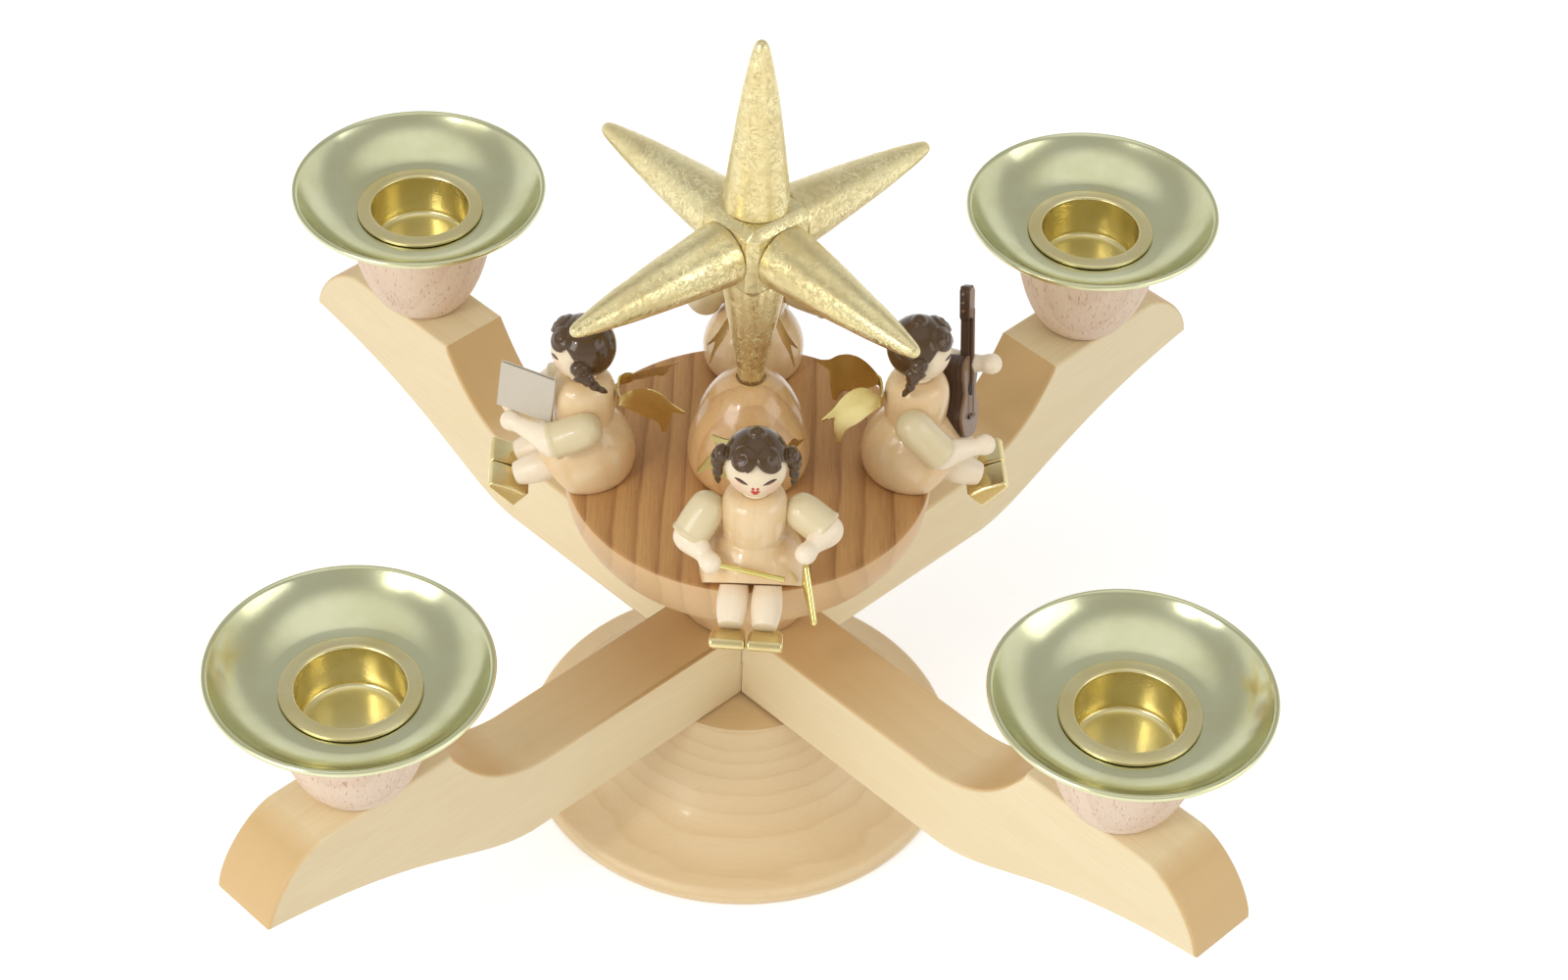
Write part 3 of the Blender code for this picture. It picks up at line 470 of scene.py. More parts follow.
def baked(name, shape, look, crease=40):
    """The finished mesh: smooth but for edges sharper than the crease."""
    mesh = bpy.data.meshes.new(name)
    limit = math.radians(crease)
    for face in shape.faces:
        face.smooth = True
    for edge in shape.edges:
        edge.smooth = not (edge.is_manifold and edge.calc_face_angle(0.0) > limit)
    shape.to_mesh(mesh)
    shape.free()
    mesh.materials.append(look)
    return mesh


def linked(name, data):
    thing = bpy.data.objects.new(name, data)
    scene.collection.objects.link(thing)
    return thing


def applied(thing):
    """The object's mesh with its modifiers applied. The object itself goes."""
    bpy.context.view_layer.update()
    done = bpy.data.meshes.new_from_object(thing.evaluated_get(bpy.context.evaluated_depsgraph_get()))
    bpy.data.objects.remove(thing, do_unlink=True)
    return done


def planed(mesh):
    """Lets broad flat faces keep their own shading, so that only the softened edges look round."""
    thing = linked(mesh.name, mesh)
    even = thing.modifiers.new("even", "WEIGHTED_NORMAL")
    even.weight = 100
    even.keep_sharp = True
    return applied(thing)


def melted(name, shapes, look, voxel):
    """Shapes run together into one skin, as thick paint over carved wood does."""
    mesh = bpy.data.meshes.new(name)
    whole = together(shapes)
    whole.to_mesh(mesh)
    whole.free()
    thing = linked(name, mesh)
    skin = thing.modifiers.new("skin", "REMESH")
    skin.mode = "VOXEL"
    skin.voxel_size = voxel
    soft = thing.modifiers.new("soft", "SMOOTH")
    soft.factor = 0.5
    soft.iterations = 2
    done = applied(thing)
    bpy.data.meshes.remove(mesh)
    done.name = name
    done.polygons.foreach_set("use_smooth", [True] * len(done.polygons))
    done.materials.clear()
    done.materials.append(look)
    return done


def piece(name, mesh, matrix, stands_for):
    made = linked(name, mesh)
    made.matrix_world = matrix
    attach(made, "root")
    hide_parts(stands_for)


# Foot

HERE = Matrix()
foot_outline = [(0.0, 0.0310)]
foot_outline += bezier((0.0242, 0.0310), (0.0287, 0.0160), (0.0346, 0.0071), (0.0492, 0.0046), 36)
foot_outline += bezier((0.0492, 0.0046), (0.0499, 0.0044), (0.0506, 0.0034), (0.0506, 0.0022), 8)
foot_outline += bezier((0.0506, 0.0022), (0.0506, 0.0010), (0.0503, 0.0002), (0.0494, 0.0), 6)
foot_outline += [(0.0494, 0.0), (0.0, 0.0)]
piece("turned_foot", baked("turned_foot", lathe(foot_outline, 144), foot_wood), HERE, "foot")

# Crossed bars

BAR_UNDER, BAR_UPPER = 0.0313, 0.0519
BAR_MIDDLE = (BAR_UNDER + BAR_UPPER) / 2
side = bezier((0.0680, BAR_UPPER), (0.08125, BAR_UPPER + 0.0008), (0.08867, 0.0614), (0.0945, 0.0714), 22)
side += [(0.0945, 0.0714)]
side += bezier((0.1290, 0.0714), (0.1355, 0.0708), (0.1429, 0.0629), (0.1445, 0.0554), 18)
side += bezier((0.1445, 0.0548), (0.1010, 0.0480), (0.0890, 0.0325), (0.0720, BAR_UNDER), 30)
side += [(0.0720, BAR_UNDER)]
bar_outline = side + [(-x, z) for x, z in side[::-1]]
BAR_WIDTH = 0.0178


def bar_mesh(name, low, high, turn, look):
    """One bar with softened edges, halved at the middle where the other crosses it, turned to its bearing."""
    mesh = baked(name, slab(bar_outline, BAR_WIDTH, 0.0009, 3), look, 30)
    thing = linked(name, mesh)
    lap = bmesh.new()
    wide = BAR_WIDTH + 2 * GAP
    size = Matrix.Translation((0, 0, (high + low) / 2)) @ Matrix.Diagonal((wide, wide, high - low, 1.0))
    bmesh.ops.create_cube(lap, size=1.0, matrix=size)
    tool = linked(name + "_lap", baked(name + "_lap", lap, look))
    cut = thing.modifiers.new("lap", "BOOLEAN")
    cut.solver = "EXACT"
    cut.object = tool
    done = applied(thing)
    bpy.data.objects.remove(tool, do_unlink=True)
    done.transform(Matrix.Rotation(turn, 4, "Z"))
    return planed(done)


for name, turn, low, high, look in (
    ("cross_bar_lower", EIGHTH, BAR_MIDDLE - GAP / 2, BAR_UPPER + 0.01, bar_woods[0]),
    ("cross_bar_upper", -EIGHTH, BAR_UNDER - 0.01, BAR_MIDDLE + GAP / 2, bar_woods[1]),
):
    piece(name + "_wood", bar_mesh(name + "_wood", low, high, turn, look), HERE, name)

# Round seat and dome

TOP, DISC = 0.0912, 0.0408
disc_outline = [(0.0, TOP), (DISC - 0.0012, TOP)]
disc_outline += bezier((DISC - 0.0009, TOP), (DISC - 0.0004, TOP), (DISC, TOP - 0.0002), (DISC, TOP - 0.0006), 5)
disc_lean = (DISC + 0.0005, TOP - 0.0060), (DISC - 0.0016, TOP - 0.0110)
disc_outline += bezier((DISC, TOP - 0.0006), *disc_lean, (0.0349, 0.0762), 18)
disc_outline += [(0.0349, 0.0762), (0.0346, 0.0761)]
disc_outline += bezier((0.0345, 0.0760), (0.0268, 0.0692), (0.0182, 0.0589), (0.0152, 0.0522), 18)
disc_outline += [(0.0152, 0.0522), (0.0, 0.0522)]
piece("turned_seat", baked("turned_seat", lathe(disc_outline, 144), disc_wood), HERE, "angel_seat_disc")

DOME_UNDER, DOME_TOP = 0.0915, 0.1177
widest = (0.0136, DOME_UNDER + 0.0044)
dome_outline = [(0.0, DOME_TOP - 0.0012), (0.0033, DOME_TOP - 0.0012), (0.0033, DOME_TOP - 0.0006)]
dome_lean = (0.0094, DOME_TOP - 0.0030), (0.0136, DOME_UNDER + 0.0134)
dome_outline += bezier((0.0039, DOME_TOP - 0.0006), *dome_lean, widest, 26)
edge = (0.0121, DOME_UNDER)
dome_outline += bezier(widest, (0.0136, DOME_UNDER + 0.0022), (0.0128, DOME_UNDER + 0.0008), edge, 8)
dome_outline += [edge, (0.0, DOME_UNDER)]
dome_mesh = baked("turned_dome", lathe(dome_outline, 96), dome_wood)
piece("turned_dome", dome_mesh, HERE, "centre_dome")

# Star

STAR = Matrix.Translation((0, 0, 0.1560)) @ turned(45 - 2.6)
HUB, SPIKE, LONG = 0.0088, 0.0071, 0.0500 - 0.0088 - GAP


def uneven(shape, amount, size, seed):
    """Moves every point a little along its normal, as hand-laid leaf on wood is never quite true."""
    shape.normal_update()
    for vert in shape.verts:
        lift = noise(vert.co * (1 / size) + Vector((seed, seed * 0.7, 0)))
        vert.co += vert.normal * lift * amount
    return shape


hub = bmesh.new()
bmesh.ops.create_cube(hub, size=2 * HUB)
bmesh.ops.bevel(hub, geom=hub.verts[:] + hub.edges[:], offset=0.0020, segments=1, affect="EDGES")
edges = [edge for edge in hub.edges if edge.calc_face_angle(0.0) > math.radians(20)]
bmesh.ops.bevel(hub, geom=edges, offset=0.00025, segments=2, affect="EDGES")
piece("star_hub_leaf", planed(baked("star_hub_leaf", hub, leaf_metal, 60)), STAR, "star_hub")

root = [(SPIKE, 0.0008), (SPIKE, 0.0), (SPIKE - 0.0002, -0.0002), (0.0, -0.0002)]
spike = bezier((0.0, LONG), (0.0009, LONG), (0.0014, LONG - 0.0006), (0.00178, LONG - 0.0022), 8)
spike += bezier((0.00178, LONG - 0.0022), (0.0044, LONG - 0.0130), (0.0065, 0.0070), root[0], 30) + root
down_long = 0.1560 - HUB - GAP - (DOME_TOP - 0.0012 + GAP)
down = [(0.0, down_long), (0.0026, down_long)]
down += bezier((0.0028, down_long - 0.0004), (0.0040, down_long * 0.66), (0.0065, down_long * 0.26), root[0], 30)
down += root
ways = ("up", 0, "X"), ("down", 180, "X"), ("back_right", 90, "Y"), ("front_left", -90, "Y")
ways += ("back_left", -90, "X"), ("front_right", 90, "X")
for number, (name, degrees, axis) in enumerate(ways):
    tip = down if name == "down" else spike
    shape = uneven(uneven(lathe(tip, 72), 0.00008, 0.005, number * 3.1), 0.00003, 0.0013, number * 2.3)
    for vert in shape.verts:
        vert.co.z = min(vert.co.z, LONG - 0.00002)
    place = STAR @ turned(degrees, axis) @ Matrix.Translation((0, 0, HUB + GAP))
    mesh = baked("spike_" + name, shape, leaf_metal)
    piece("spike_" + name, mesh, place, "star_spike_" + name)

# Candle cups, drip trays and inserts

CUP_UNDER, CUP_TOP = 0.0717, 0.0966
TRAY_UNDER = CUP_TOP + GAP
TRAY_TOP = TRAY_UNDER + 0.0008
INSERT_TOP = TRAY_TOP + GAP + 0.0006
BORE = 0.0123
cup = [(0.0, 0.0865), (BORE, 0.0865), (BORE, CUP_TOP), (0.0163, CUP_TOP)]
cup += bezier((0.0165, CUP_TOP), (0.0170, CUP_TOP), (0.0173, CUP_TOP - 0.0003), (0.0173, CUP_TOP - 0.0008), 4)
cup_lean = (0.0171, CUP_TOP - 0.0090), (0.0141, CUP_UNDER + 0.0042)
cup += bezier((0.0173, CUP_TOP - 0.0008), *cup_lean, (0.0096, CUP_UNDER), 26)
cup += [(0.0096, CUP_UNDER), (0.0, CUP_UNDER)]

RIM = 0.1048
dish = (0.0178, TRAY_TOP + 0.0001), (0.0225, TRAY_TOP + 0.0008), (0.0262, RIM - 0.0036), (0.0289, RIM - 0.0002)
upper = [(BORE, TRAY_TOP)] + bezier(*dish, 24)
tray = upper + bezier((0.0290, RIM - 0.0001), (0.0294, RIM + 0.0001), (0.0300, RIM), (0.0300, RIM - 0.0006), 8)
tray += bezier((0.0300, RIM - 0.0006), (0.0300, RIM - 0.0012), (0.0297, RIM - 0.0015), (0.0293, RIM - 0.0014), 5)
tray += [(radius + 0.0002, height - 0.0008) for radius, height in upper[:0:-1]]
tray += [(BORE, TRAY_UNDER)]

insert = [(0.0, 0.0877), (0.0086, 0.0876)]
insert += bezier((0.0098, 0.0876), (0.0108, 0.0877), (0.0114, 0.0882), (0.0114, 0.0891), 7)
insert += [(0.0114, 0.0891), (0.0114, 0.0930), (0.0114, INSERT_TOP - 0.0008)]
lip = (0.0121, INSERT_TOP + 0.0002)
bend = (0.0114, INSERT_TOP - 0.0001), (0.0117, INSERT_TOP + 0.0002)
insert += bezier((0.0114, INSERT_TOP - 0.0006), *bend, lip, 6)
insert += [lip, (0.0136, INSERT_TOP + 0.0001)]
lip_edge = (0.0149, INSERT_TOP - 0.0002), (0.0149, INSERT_TOP - 0.0004)
insert += bezier((0.0145, INSERT_TOP), (0.0148, INSERT_TOP), *lip_edge, 4)
insert += [(0.0149, INSERT_TOP - 0.0006), (0.0120, INSERT_TOP - 0.0006), (0.0120, 0.0868), (0.0, 0.0868)]

cup_mesh = baked("cup_wood", lathe(cup, 96), cup_wood)
tray_mesh = baked("tray_sheet", lathe(tray, 144, ring=True), tray_metal)
insert_mesh = baked("insert_sheet", lathe(insert, 96), insert_metal)
OUT = 0.1130 * math.sqrt(0.5)
for corner, x, y in (("front_left", -1, -1), ("front_right", 1, -1), ("back_left", -1, 1), ("back_right", 1, 1)):
    place = Matrix.Translation((x * OUT, y * OUT, 0))
    piece("cup_" + corner, cup_mesh, place, "candle_cup_" + corner)
    piece("tray_" + corner, tray_mesh, place, "drip_tray_" + corner)
    piece("insert_" + corner, insert_mesh, place, "candle_insert_" + corner)

# Angels. Each is drawn in its own frame: x outwards, the way it looks, y to its left, z up from the seat.

HEAD = Vector((0.0002, 0, 0.0330))
R, LONG_HEAD = 0.0066, 0.0069
lap_normal = Vector((math.sin(math.radians(45)), 0.0, -math.cos(math.radians(45))))

bodice = [(0.0, 0.0258), (0.0034, 0.0258)]
bodice += bezier((0.0036, 0.0258), (0.0062, 0.0255), (0.0071, 0.0236), (0.0072, 0.0202), 14)
bodice += bezier((0.0072, 0.0202), (0.0072, 0.0180), (0.0070, 0.0158), (0.0067, 0.0147), 10)
bodice += [(0.0067, 0.0147), (0.00662, 0.0143)]
bodice += bezier((0.0067, 0.0140), (0.0082, 0.0127), (0.0115, 0.0089), (0.0116, 0.0044), 20)
bodice += bezier((0.0116, 0.0044), (0.0116, 0.0024), (0.0113, 0.0008), (0.0107, 0.0), 6)
bodice += [(0.0107, 0.0), (0.0, 0.0)]
LAP_START = 0.0021
body_mesh = baked("angel_bodice", trimmed(lathe(bodice, 72), (LAP_START, 0, 0), lap_normal), body_wood)


def on_head(azimuth, elevation, lift=0.0):
    a, e = math.radians(azimuth), math.radians(elevation)
    out = Vector((math.cos(a) * math.cos(e), math.sin(a) * math.cos(e), math.sin(e)))
    return HEAD + Vector((out.x * (R + lift), out.y * (R + lift), out.z * (LONG_HEAD + lift)))


def daub(outline, lift=0.00006):
    """A dab of paint on the head: an outline in degrees round and up, filled over the ball."""
    shape = bmesh.new()
    centre = [sum(values) / len(outline) for values in zip(*outline)]
    rings = []
    under = -0.00025
    for share, height in ((0.0, lift), (0.5, lift), (0.85, lift), (1.0, 0.00001), (1.0, under), (0.0, under)):
        if share == 0.0:
            rings.append([shape.verts.new(on_head(*centre, height))])
            continue
        row = []
        for azimuth, elevation in outline:
            spot = (centre[0] + (azimuth - centre[0]) * share, centre[1] + (elevation - centre[1]) * share)
            row.append(shape.verts.new(on_head(*spot, height)))
        rings.append(row)
    return skinned(shape, rings)


def oval(azimuth, elevation, wide, high):
    turns = [2 * math.pi * i / 14 for i in range(14)]
    return [(azimuth + wide * math.cos(turn), elevation + high * math.sin(turn)) for turn in turns]


def almond(side, low=2.6, high=5.0):
    """One slanted eye, its inner corner lower than the outer. A dark line runs along its upper lid."""
    out = []
    for i in range(17):
        t = i / 16
        out.append((side * (13.0 + 30 * t), -1.0 + 5.0 * t + high * math.sin(math.pi * t) ** 0.8))
    for i in range(15, 0, -1):
        t = i / 16
        out.append((side * (13.0 + 30 * t), -1.0 + 5.0 * t - low * math.sin(math.pi * t)))
    return out


neck = lathe([(0.0, 0.0290), (0.0030, 0.0290), (0.0031, 0.0270), (0.0033, 0.0261), (0.0, 0.0261)], 40)
face = together([globe((R, R, LONG_HEAD), HEAD, 56, 36), neck])
face_mesh = baked("angel_face", face, face_skin)
eyes_mesh = baked("angel_eyes", together([daub(almond(side)) for side in (-1, 1)]), ink)
lids = together([daub(almond(side, -3.7, 5.7), 0.00010) for side in (-1, 1)])
lids_mesh = baked("angel_lids", lids, lash)
lips = [oval(-4.4, -9.5, 2.7, 4.0), oval(4.4, -9.5, 2.7, 4.0)]
lips += [oval(-4.0, -17.5, 5.0, 3.4), oval(4.0, -17.5, 5.0, 3.4), oval(0, -22.5, 6.4, 5.0)]
mouth = together([daub(shape, 0.00006 + 0.00001 * i) for i, shape in enumerate(lips)])
lips_mesh = baked("angel_mouth", mouth, lip_red)


def curl(side):
    """A flat swirl of hair on the brow."""
    axis = (on_head(side * 33, 45) - HEAD).normalized()
    middle = HEAD + axis * (R + 0.0003)
    across = axis.orthogonal().normalized()
    other = axis.cross(across)
    shapes = [globe((0.0029, 0.0029, 0.0013), middle, 28, 16, axis.to_track_quat("Z", "Y").to_matrix().to_4x4())]
    points, radii = [], []
    for i in range(60):
        t = i / 59
        angle, far = side * t * 4.2 * math.pi, 0.0002 + 0.0026 * t
        sink = far * far / (2 * R)
        spoke = across * math.cos(angle) + other * math.sin(angle)
        points.append(middle + spoke * far + axis * (0.00115 - sink * 2.0))
        radii.append(0.00034 + 0.00016 * t)
    return shapes + [tube(points, radii, 8)]


def ringlet(side, top, tip):
    """A bun over the ear and a twisted lock that hangs from it."""
    (x, z), (end_x, end_z) = top, tip
    shapes = [
        globe((0.0020, 0.0016, 0.0019), (x + 0.0004, side * 0.0073, z), 24, 16),
        globe((0.0017, 0.0015, 0.0017), (x - 0.0010, side * 0.0079, z - 0.0018), 24, 16),
    ]
    points, radii = [], []
    for i in range(40):
        t = i / 39
        twist = t * 3.4 * math.pi * side
        sway = 0.00035 * (1 - t)
        across = side * (0.0078 + 0.0003 * math.sin(math.pi * t)) + sway * math.sin(twist)
        ahead = x + (end_x - x) * t ** 1.1 + sway * math.cos(twist)
        points.append((ahead, across, z - 0.0012 + (end_z - z + 0.0012) * t))
        radii.append(0.0014 * (1 - t) ** 0.6 * (1 + 0.16 * math.cos(t * 7 * math.pi)) + 0.0002)
    return shapes + [tube(points, radii, 14)]


def hair(name, top, tip):
    cap = trimmed(globe((0.0070, 0.0070, 0.0072), (0, 0, 0), 56, 36), (0.0012, 0, 0), Vector((0.77, 0, -0.64)))
    shifted(cap, -0.0004, 0, 0.0339)
    knob = globe((0.0017, 0.0019, 0.0012), (-0.0006, 0, 0.0411), 18, 12)
    shapes = [cap, knob] + curl(-1) + curl(1) + ringlet(-1, top, tip) + ringlet(1, top, tip)
    return melted(name, shapes, hair_paint, 0.00020)


def sleeve_shape(shoulder, elbow):
    """A short sleeve with a rolled cuff, open where the arm comes out."""
    reach = (Vector(elbow) - Vector(shoulder)).length
    cuff, under, cap = (0.0043, reach - 0.0003), (0.0041, reach - 0.0014), (0.0040, -0.0004)
    outline = [(0.0, reach - 0.0016), (0.0032, reach - 0.0016), (0.0033, reach - 0.0003)]
    outline += bezier((0.0034, reach), (0.0036, reach + 0.0004), (0.0042, reach + 0.0003), cuff, 6)
    outline += bezier(cuff, (0.0043, reach - 0.0008), (0.0041, reach - 0.0010), under, 4)
    outline += bezier(under, (0.0042, reach * 0.5), (0.0042, 0.0012), cap, 10)
    outline += bezier(cap, (0.0037, -0.0028), (0.0020, -0.0038), (0.0, -0.0038), 12)
    outline += [(0.0, -0.0038)]
    return moved(lathe(outline, 48), along(shoulder, elbow))


def forearm_shape(elbow, hand):
    """A forearm that starts in a thick round elbow and ends in a ball of a hand."""
    length = (Vector(hand) - Vector(elbow)).length
    palm, wrist = (0.0023, length), (0.0019, length - 0.0022)
    outline = bezier((0.0, length + 0.0022), (0.0014, length + 0.0022), (0.0023, length + 0.0012), palm, 9)
    outline += bezier(palm, (0.0023, length - 0.0010), (0.0020, length - 0.0016), wrist, 6)
    outline += bezier(wrist, (0.0021, length * 0.5), (0.0034, 0.0024), (0.0035, 0.0002), 14)
    outline += bezier((0.0035, 0.0002), (0.0036, -0.0020), (0.0020, -0.0034), (0.0, -0.0034), 10)
    outline += [(0.0, -0.0034)]
    return moved(lathe(outline, 40), along(elbow, hand))


def swung(swing):
    """Both legs may swing sideways about the start of the lap."""
    at_lap = Matrix.Translation((LAP_START, 0, 0))
    return at_lap @ Matrix.Rotation(swing, 4, "Z") @ at_lap.inverted()


def leg_shape(side, swing):
    """A barrel-shaped leg cut flush with the lap."""
    hip, ankle = Vector((0.0046, side * 0.0036, 0.0040)), Vector((0.0148, side * 0.0036, -0.0004))
    length = (ankle - hip).length
    calf = (0.0034, length * 0.40)
    outline = [(0.0, length), (0.0024, length)]
    outline += bezier((0.0026, length - 0.0001), (0.0033, length * 0.78), (0.0036, length * 0.55), calf, 12)
    outline += bezier(calf, (0.0032, length * 0.2), (0.0028, 0.0008), (0.0024, -0.0020), 10)
    outline += [(0.0024, -0.0020), (0.0, -0.0020)]
    barrel = moved(lathe(outline, 44), swung(swing) @ along(hip, ankle))
    return trimmed(barrel, Vector((LAP_START, 0, 0)) + lap_normal * GAP, -lap_normal)


def shoe_shape(side, swing):
    """A small gold shoe with a rounded instep."""
    long = 0.0086
    outline = [(0.0, 0.0), (long - 0.0008, 0.0)]
    outline += bezier((long - 0.0006, 0.0), (long, 0.0001), (long + 0.0001, 0.0010), (long - 0.0001, 0.0018), 5)
    outline += bezier((long - 0.0001, 0.0018), (long * 0.80, 0.0026), (long * 0.60, 0.0046), (0.0002, 0.0052), 12)
    outline += [(0.0002, 0.0052)]
    shape = slab(outline, 0.0076, 0.0006, 3)
    for vert in shape.verts:
        high = max(0.0, vert.co.z - 0.0018) / 0.0034
        vert.co.y *= 1.0 - 0.12 * high * high
        vert.co.z -= max(0.0, high) * (vert.co.y / 0.0038) ** 2 * 0.0008
    heel = Matrix.Translation((0.0155, side * 0.0040, -0.0068)) @ turned(-47, "Y")
    return moved(shape, swung(swing) @ heel)


WING_ROOT, WING_HINGE = 0.0040, 0.0212
WING_CURVE, ROOT_CURVE = 14, 40


def wing_shape(splay_right, roll_right, splay_left, roll_left):
    """Both wings cut from one strip of sheet, bent round the shoulders, then splayed and rolled a little."""
    high = [(0.0, 0.0226), (0.0028, 0.0256), (0.0058, 0.0268), (0.0088, 0.0256), (0.0112, 0.0233), (0.0142, 0.0219)]
    notch = [(0.0142, 0.0212), (0.0118, 0.0206), (0.0108, 0.0196), (0.0106, 0.0166), (0.0098, 0.0124)]
    low = [(0.0092, 0.0123), (0.0086, 0.0146), (0.0076, 0.0158), (0.0050, 0.0165), (0.0024, 0.0182), (0.0, 0.0198)]
    wing = [(WING_ROOT + p[0], p[1]) for part in (high, notch, low) for p in flowing(part, 6)]
    outline = [(0.0, 0.0220), *wing, (0.0, 0.0204)]
    outline += [(-x, z) for x, z in wing[::-1]]
    sheet = slab(outline, 0.0005)
    cuts = [((cut * 0.0005, 0, 0), (1, 0, 0)) for cut in range(-36, 37)]
    cuts += [((0, 0, 0.0120 + cut * 0.0006), (0, 0, 1)) for cut in range(1, 26)]
    for point, normal in cuts:
        everything = sheet.verts[:] + sheet.edges[:] + sheet.faces[:]
        bmesh.ops.bisect_plane(sheet, geom=everything, dist=1e-6, plane_co=point, plane_no=normal)
    bmesh.ops.triangulate(sheet, faces=[face for face in sheet.faces if len(face.verts) > 4])
    for vert in sheet.verts:
        far, side = abs(vert.co.x), 1 if vert.co.x > 0 else -1
        out = max(0.0, far - WING_ROOT * 0.9)
        near, lift = far - out, vert.co.y
        splay = math.radians(splay_left if side > 0 else splay_right) + WING_CURVE * out
        hollow = ROOT_CURVE * near * near * near / WING_ROOT
        bent = Vector((-out * math.cos(splay) - hollow, near + out * math.sin(splay)))
        tilt = splay * min(1.0, out / 0.002)
        bent += lift * Vector((-math.sin(QUARTER - tilt), math.cos(QUARTER - tilt)))
        roll = math.radians(roll_left if side > 0 else roll_right) * min(1.0, out / 0.003)
        above = vert.co.z - WING_HINGE
        vert.co = (bent.x, side * bent.y + above * math.sin(roll), WING_HINGE + above * math.cos(roll))
    bmesh.ops.recalc_face_normals(sheet, faces=sheet.faces)
    return shifted(sheet, -0.0077, 0, 0)


straight = ((-0.0004, 0.0359), (-0.0010, 0.0262))
poses = {
    "front": (
        (-87.4, -3, -3),
        (14, 38, 14, 12),
        straight,
        ((0.0003, -0.0101, 0.0200), (0.0033, -0.0136, 0.0148), (0.0094, -0.0089, 0.0128)),
        ((0.0003, 0.0101, 0.0202), (0.0032, 0.0154, 0.0178), (0.0098, 0.0110, 0.0168)),
    ),
    "right": (
        (3.4, 0, 0),
        (14, 0, 14, 0),
        ((-0.0012, 0.0345), (-0.0040, 0.0262)),
        ((-0.0014, -0.0095, 0.0188), (0.0048, -0.0102, 0.0116), (0.0151, -0.0070, 0.0114)),
        ((0.0, 0.0094, 0.0200), (0.0068, 0.0114, 0.0196), (0.0172, 0.0080, 0.0220)),
    ),
    "back": (
        (89.4, 0, 0),
        (14, 14, 14, -14),
        straight,
        ((0.0003, -0.0096, 0.0204), (0.0020, -0.0166, 0.0160), (0.0100, -0.0120, 0.0140)),
        ((0.0003, 0.0096, 0.0204), (0.0030, 0.0118, 0.0146), (0.0104, 0.0080, 0.0134)),
    ),
    "left": (
        (181.8, 0, 0),
        (14, 40, 4, 12),
        ((0.0002, 0.0334), (-0.0055, 0.0272)),
        ((-0.0006, -0.0094, 0.0188), (0.0064, -0.0096, 0.0154), (0.0158, -0.0030, 0.0146)),
        ((-0.0006, 0.0096, 0.0178), (0.0064, 0.0098, 0.0148), (0.0158, 0.0030, 0.0148)),
    ),
}

